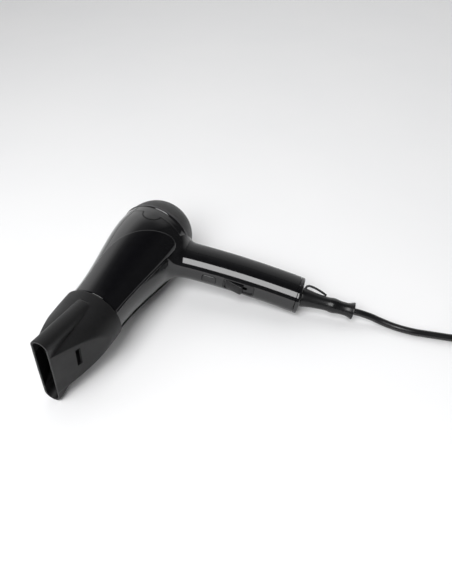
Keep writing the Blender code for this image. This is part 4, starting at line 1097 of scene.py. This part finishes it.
def make_button():
    """The cool-shot button: a slightly dished face with a soft rim, a flange and a stem."""
    half_x = (BUTTON_END - BUTTON_START) / 2.0
    middle = (BUTTON_END + BUTTON_START) / 2.0
    levels = [(0.0006, 0.0), (0.00025, 0.00012), (0.00006, 0.00035), (0.0, 0.0007),
              (0.3 * BUTTON_DISH, 0.0014), (0.8 * BUTTON_DISH, 0.0024), (BUTTON_DISH, 0.0034)]
    sections = []
    for y, inset in [(-0.009, 0.0)] + [(BUTTON_FACE_Y + sink, inset) for sink, inset in levels]:
        outline = rounded_outline(half_x - inset, BUTTON_HALF_WIDTH - inset, max(0.0018 - inset, 0.0002))
        sections.append([(middle + x, y, z) for x, z in outline])
    button = loft("cool_shot_button", sections, HANDLE)
    flange = plate("flange", (BUTTON_START - 0.0009, -0.0098, -0.0046),
                   (BUTTON_END + 0.0009, -0.0088, 0.0046), 0.001, HANDLE)
    stem = cylinder("stem", -0.0089, -0.0053, 0.0012, 32, HANDLE @ Matrix.Translation((middle, 0.0, 0.0)))
    combine(button, flange, "UNION")
    combine(button, stem, "UNION")
    place_piece(button, "gloss_black", "cool_button", ("cool_button",), smooth=38.0)


# ------------ strain relief and hanging loop

def make_boot():
    inner = [(-8, 0.6), (-8, 7.8), (-5.2, 7.8), (-5.2, 5.6), (0, 5.6)]
    stations = [(0, 8.3), (0.3, 8.7), (2, 8.6), (6, 8), (10, 7.4), (15, 6.8), (20, 6.4), (24.5, 6.3),
                (27, 6.7), (29, 6.85), (31.5, 6.6), (35.5, 6), (40, 5.9), (43, 6.3), (45.5, 7.2), (46.8, 7.8),
                (47.3, 7.8), (47.5, 7.5)]
    mouth = [(47.5, 3.9), (47.3, 3.5), (46.6, 3.3), (46.5, 0.6)]
    outside = [tuple(p) for p in smooth_stations(stations, 90)]
    profile = [(x * MM, r * MM) for x, r in inner + outside + mouth]
    boot = turned("cord_boot", profile, 96, BOOT_TURNED, False)
    place_piece(boot, "black_rubber", "casing", ("strain_relief",), smooth=45.0)


def make_loop():
    """A flat moulded strap that springs from the strain relief's base and returns to it half way along."""
    side, rise = math.cos(LOOP_LEAN), math.sin(LOOP_LEAN)
    route = [(2, 8.2), (2, 9.2), (2.6, 10.5), (4.4, 11.3), (7.5, 11.2), (11, 10.5), (15, 9.4), (18.5, 8.2),
             (21, 7)]
    line = smooth_route([(x * MM, reach * side * MM, reach * rise * MM) for x, reach in route], 0.0007)
    wide = np.array((0.0, -rise, side))
    outline = rounded_outline(0.001, 0.0015, 0.0009, 5)
    sections = []
    for k, point in enumerate(line):
        along = line[min(k + 1, len(line) - 1)] - line[max(k - 1, 0)]
        thin = np.cross(along / np.linalg.norm(along), wide)
        sections.append([point + thin * a + wide * b for a, b in outline])
    loop = loft("hanging_strap", sections, BOOT)
    place_piece(loop, "black_rubber", "casing", ("hanging_loop",), smooth=60.0)


# ------------ pieces carried over from the frame

CARRIED = {
    "matte_black": ("outlet_grille", "fan_guide", "fan", "slide_switch_body", "cool_switch_body"),
    "mesh_black": ("filter_screen",),
    "black_rubber": ("cord_inner",),
    "mica": ("mica_liner", "heater_board_upright", "heater_board_flat"),
    "nichrome": ("heater_coil_rear", "heater_coil_front"),
    "steel": ("thermostat", "thermal_fuse", "motor_can", "motor_screw_1", "motor_screw_2", "motor_rotor",
              "motor_shaft", "cool_button_spring", "cord_clamp_screw_1", "cord_clamp_screw_2"),
    "magnet": ("motor_magnet_1", "motor_magnet_2"),
    "circuit_board": ("rectifier_board",),
    "white_nylon": ("motor_end_cap", "cord_clamp"),
    "yellow_film": ("interference_capacitor",),
    "brown_lead": ("lead_live", "lead_switched"),
    "blue_lead": ("lead_neutral",),
}


def finish_carried():
    for finish, names in CARRIED.items():
        for name in names:
            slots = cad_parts[name].data.materials
            slots.clear()
            slots.append(MATERIALS[finish])


MATERIALS = make_materials()
make_studio()
make_cord_set()
make_casing()
make_end_cap()
make_panel("panel_upper", "side_panel_left", 1.0)
make_panel("panel_lower", "side_panel_right", -1.0)
make_cover_ring()
make_grille()
make_nozzle()
make_tray()
make_knob()
make_button()
make_boot()
make_loop()
finish_carried()
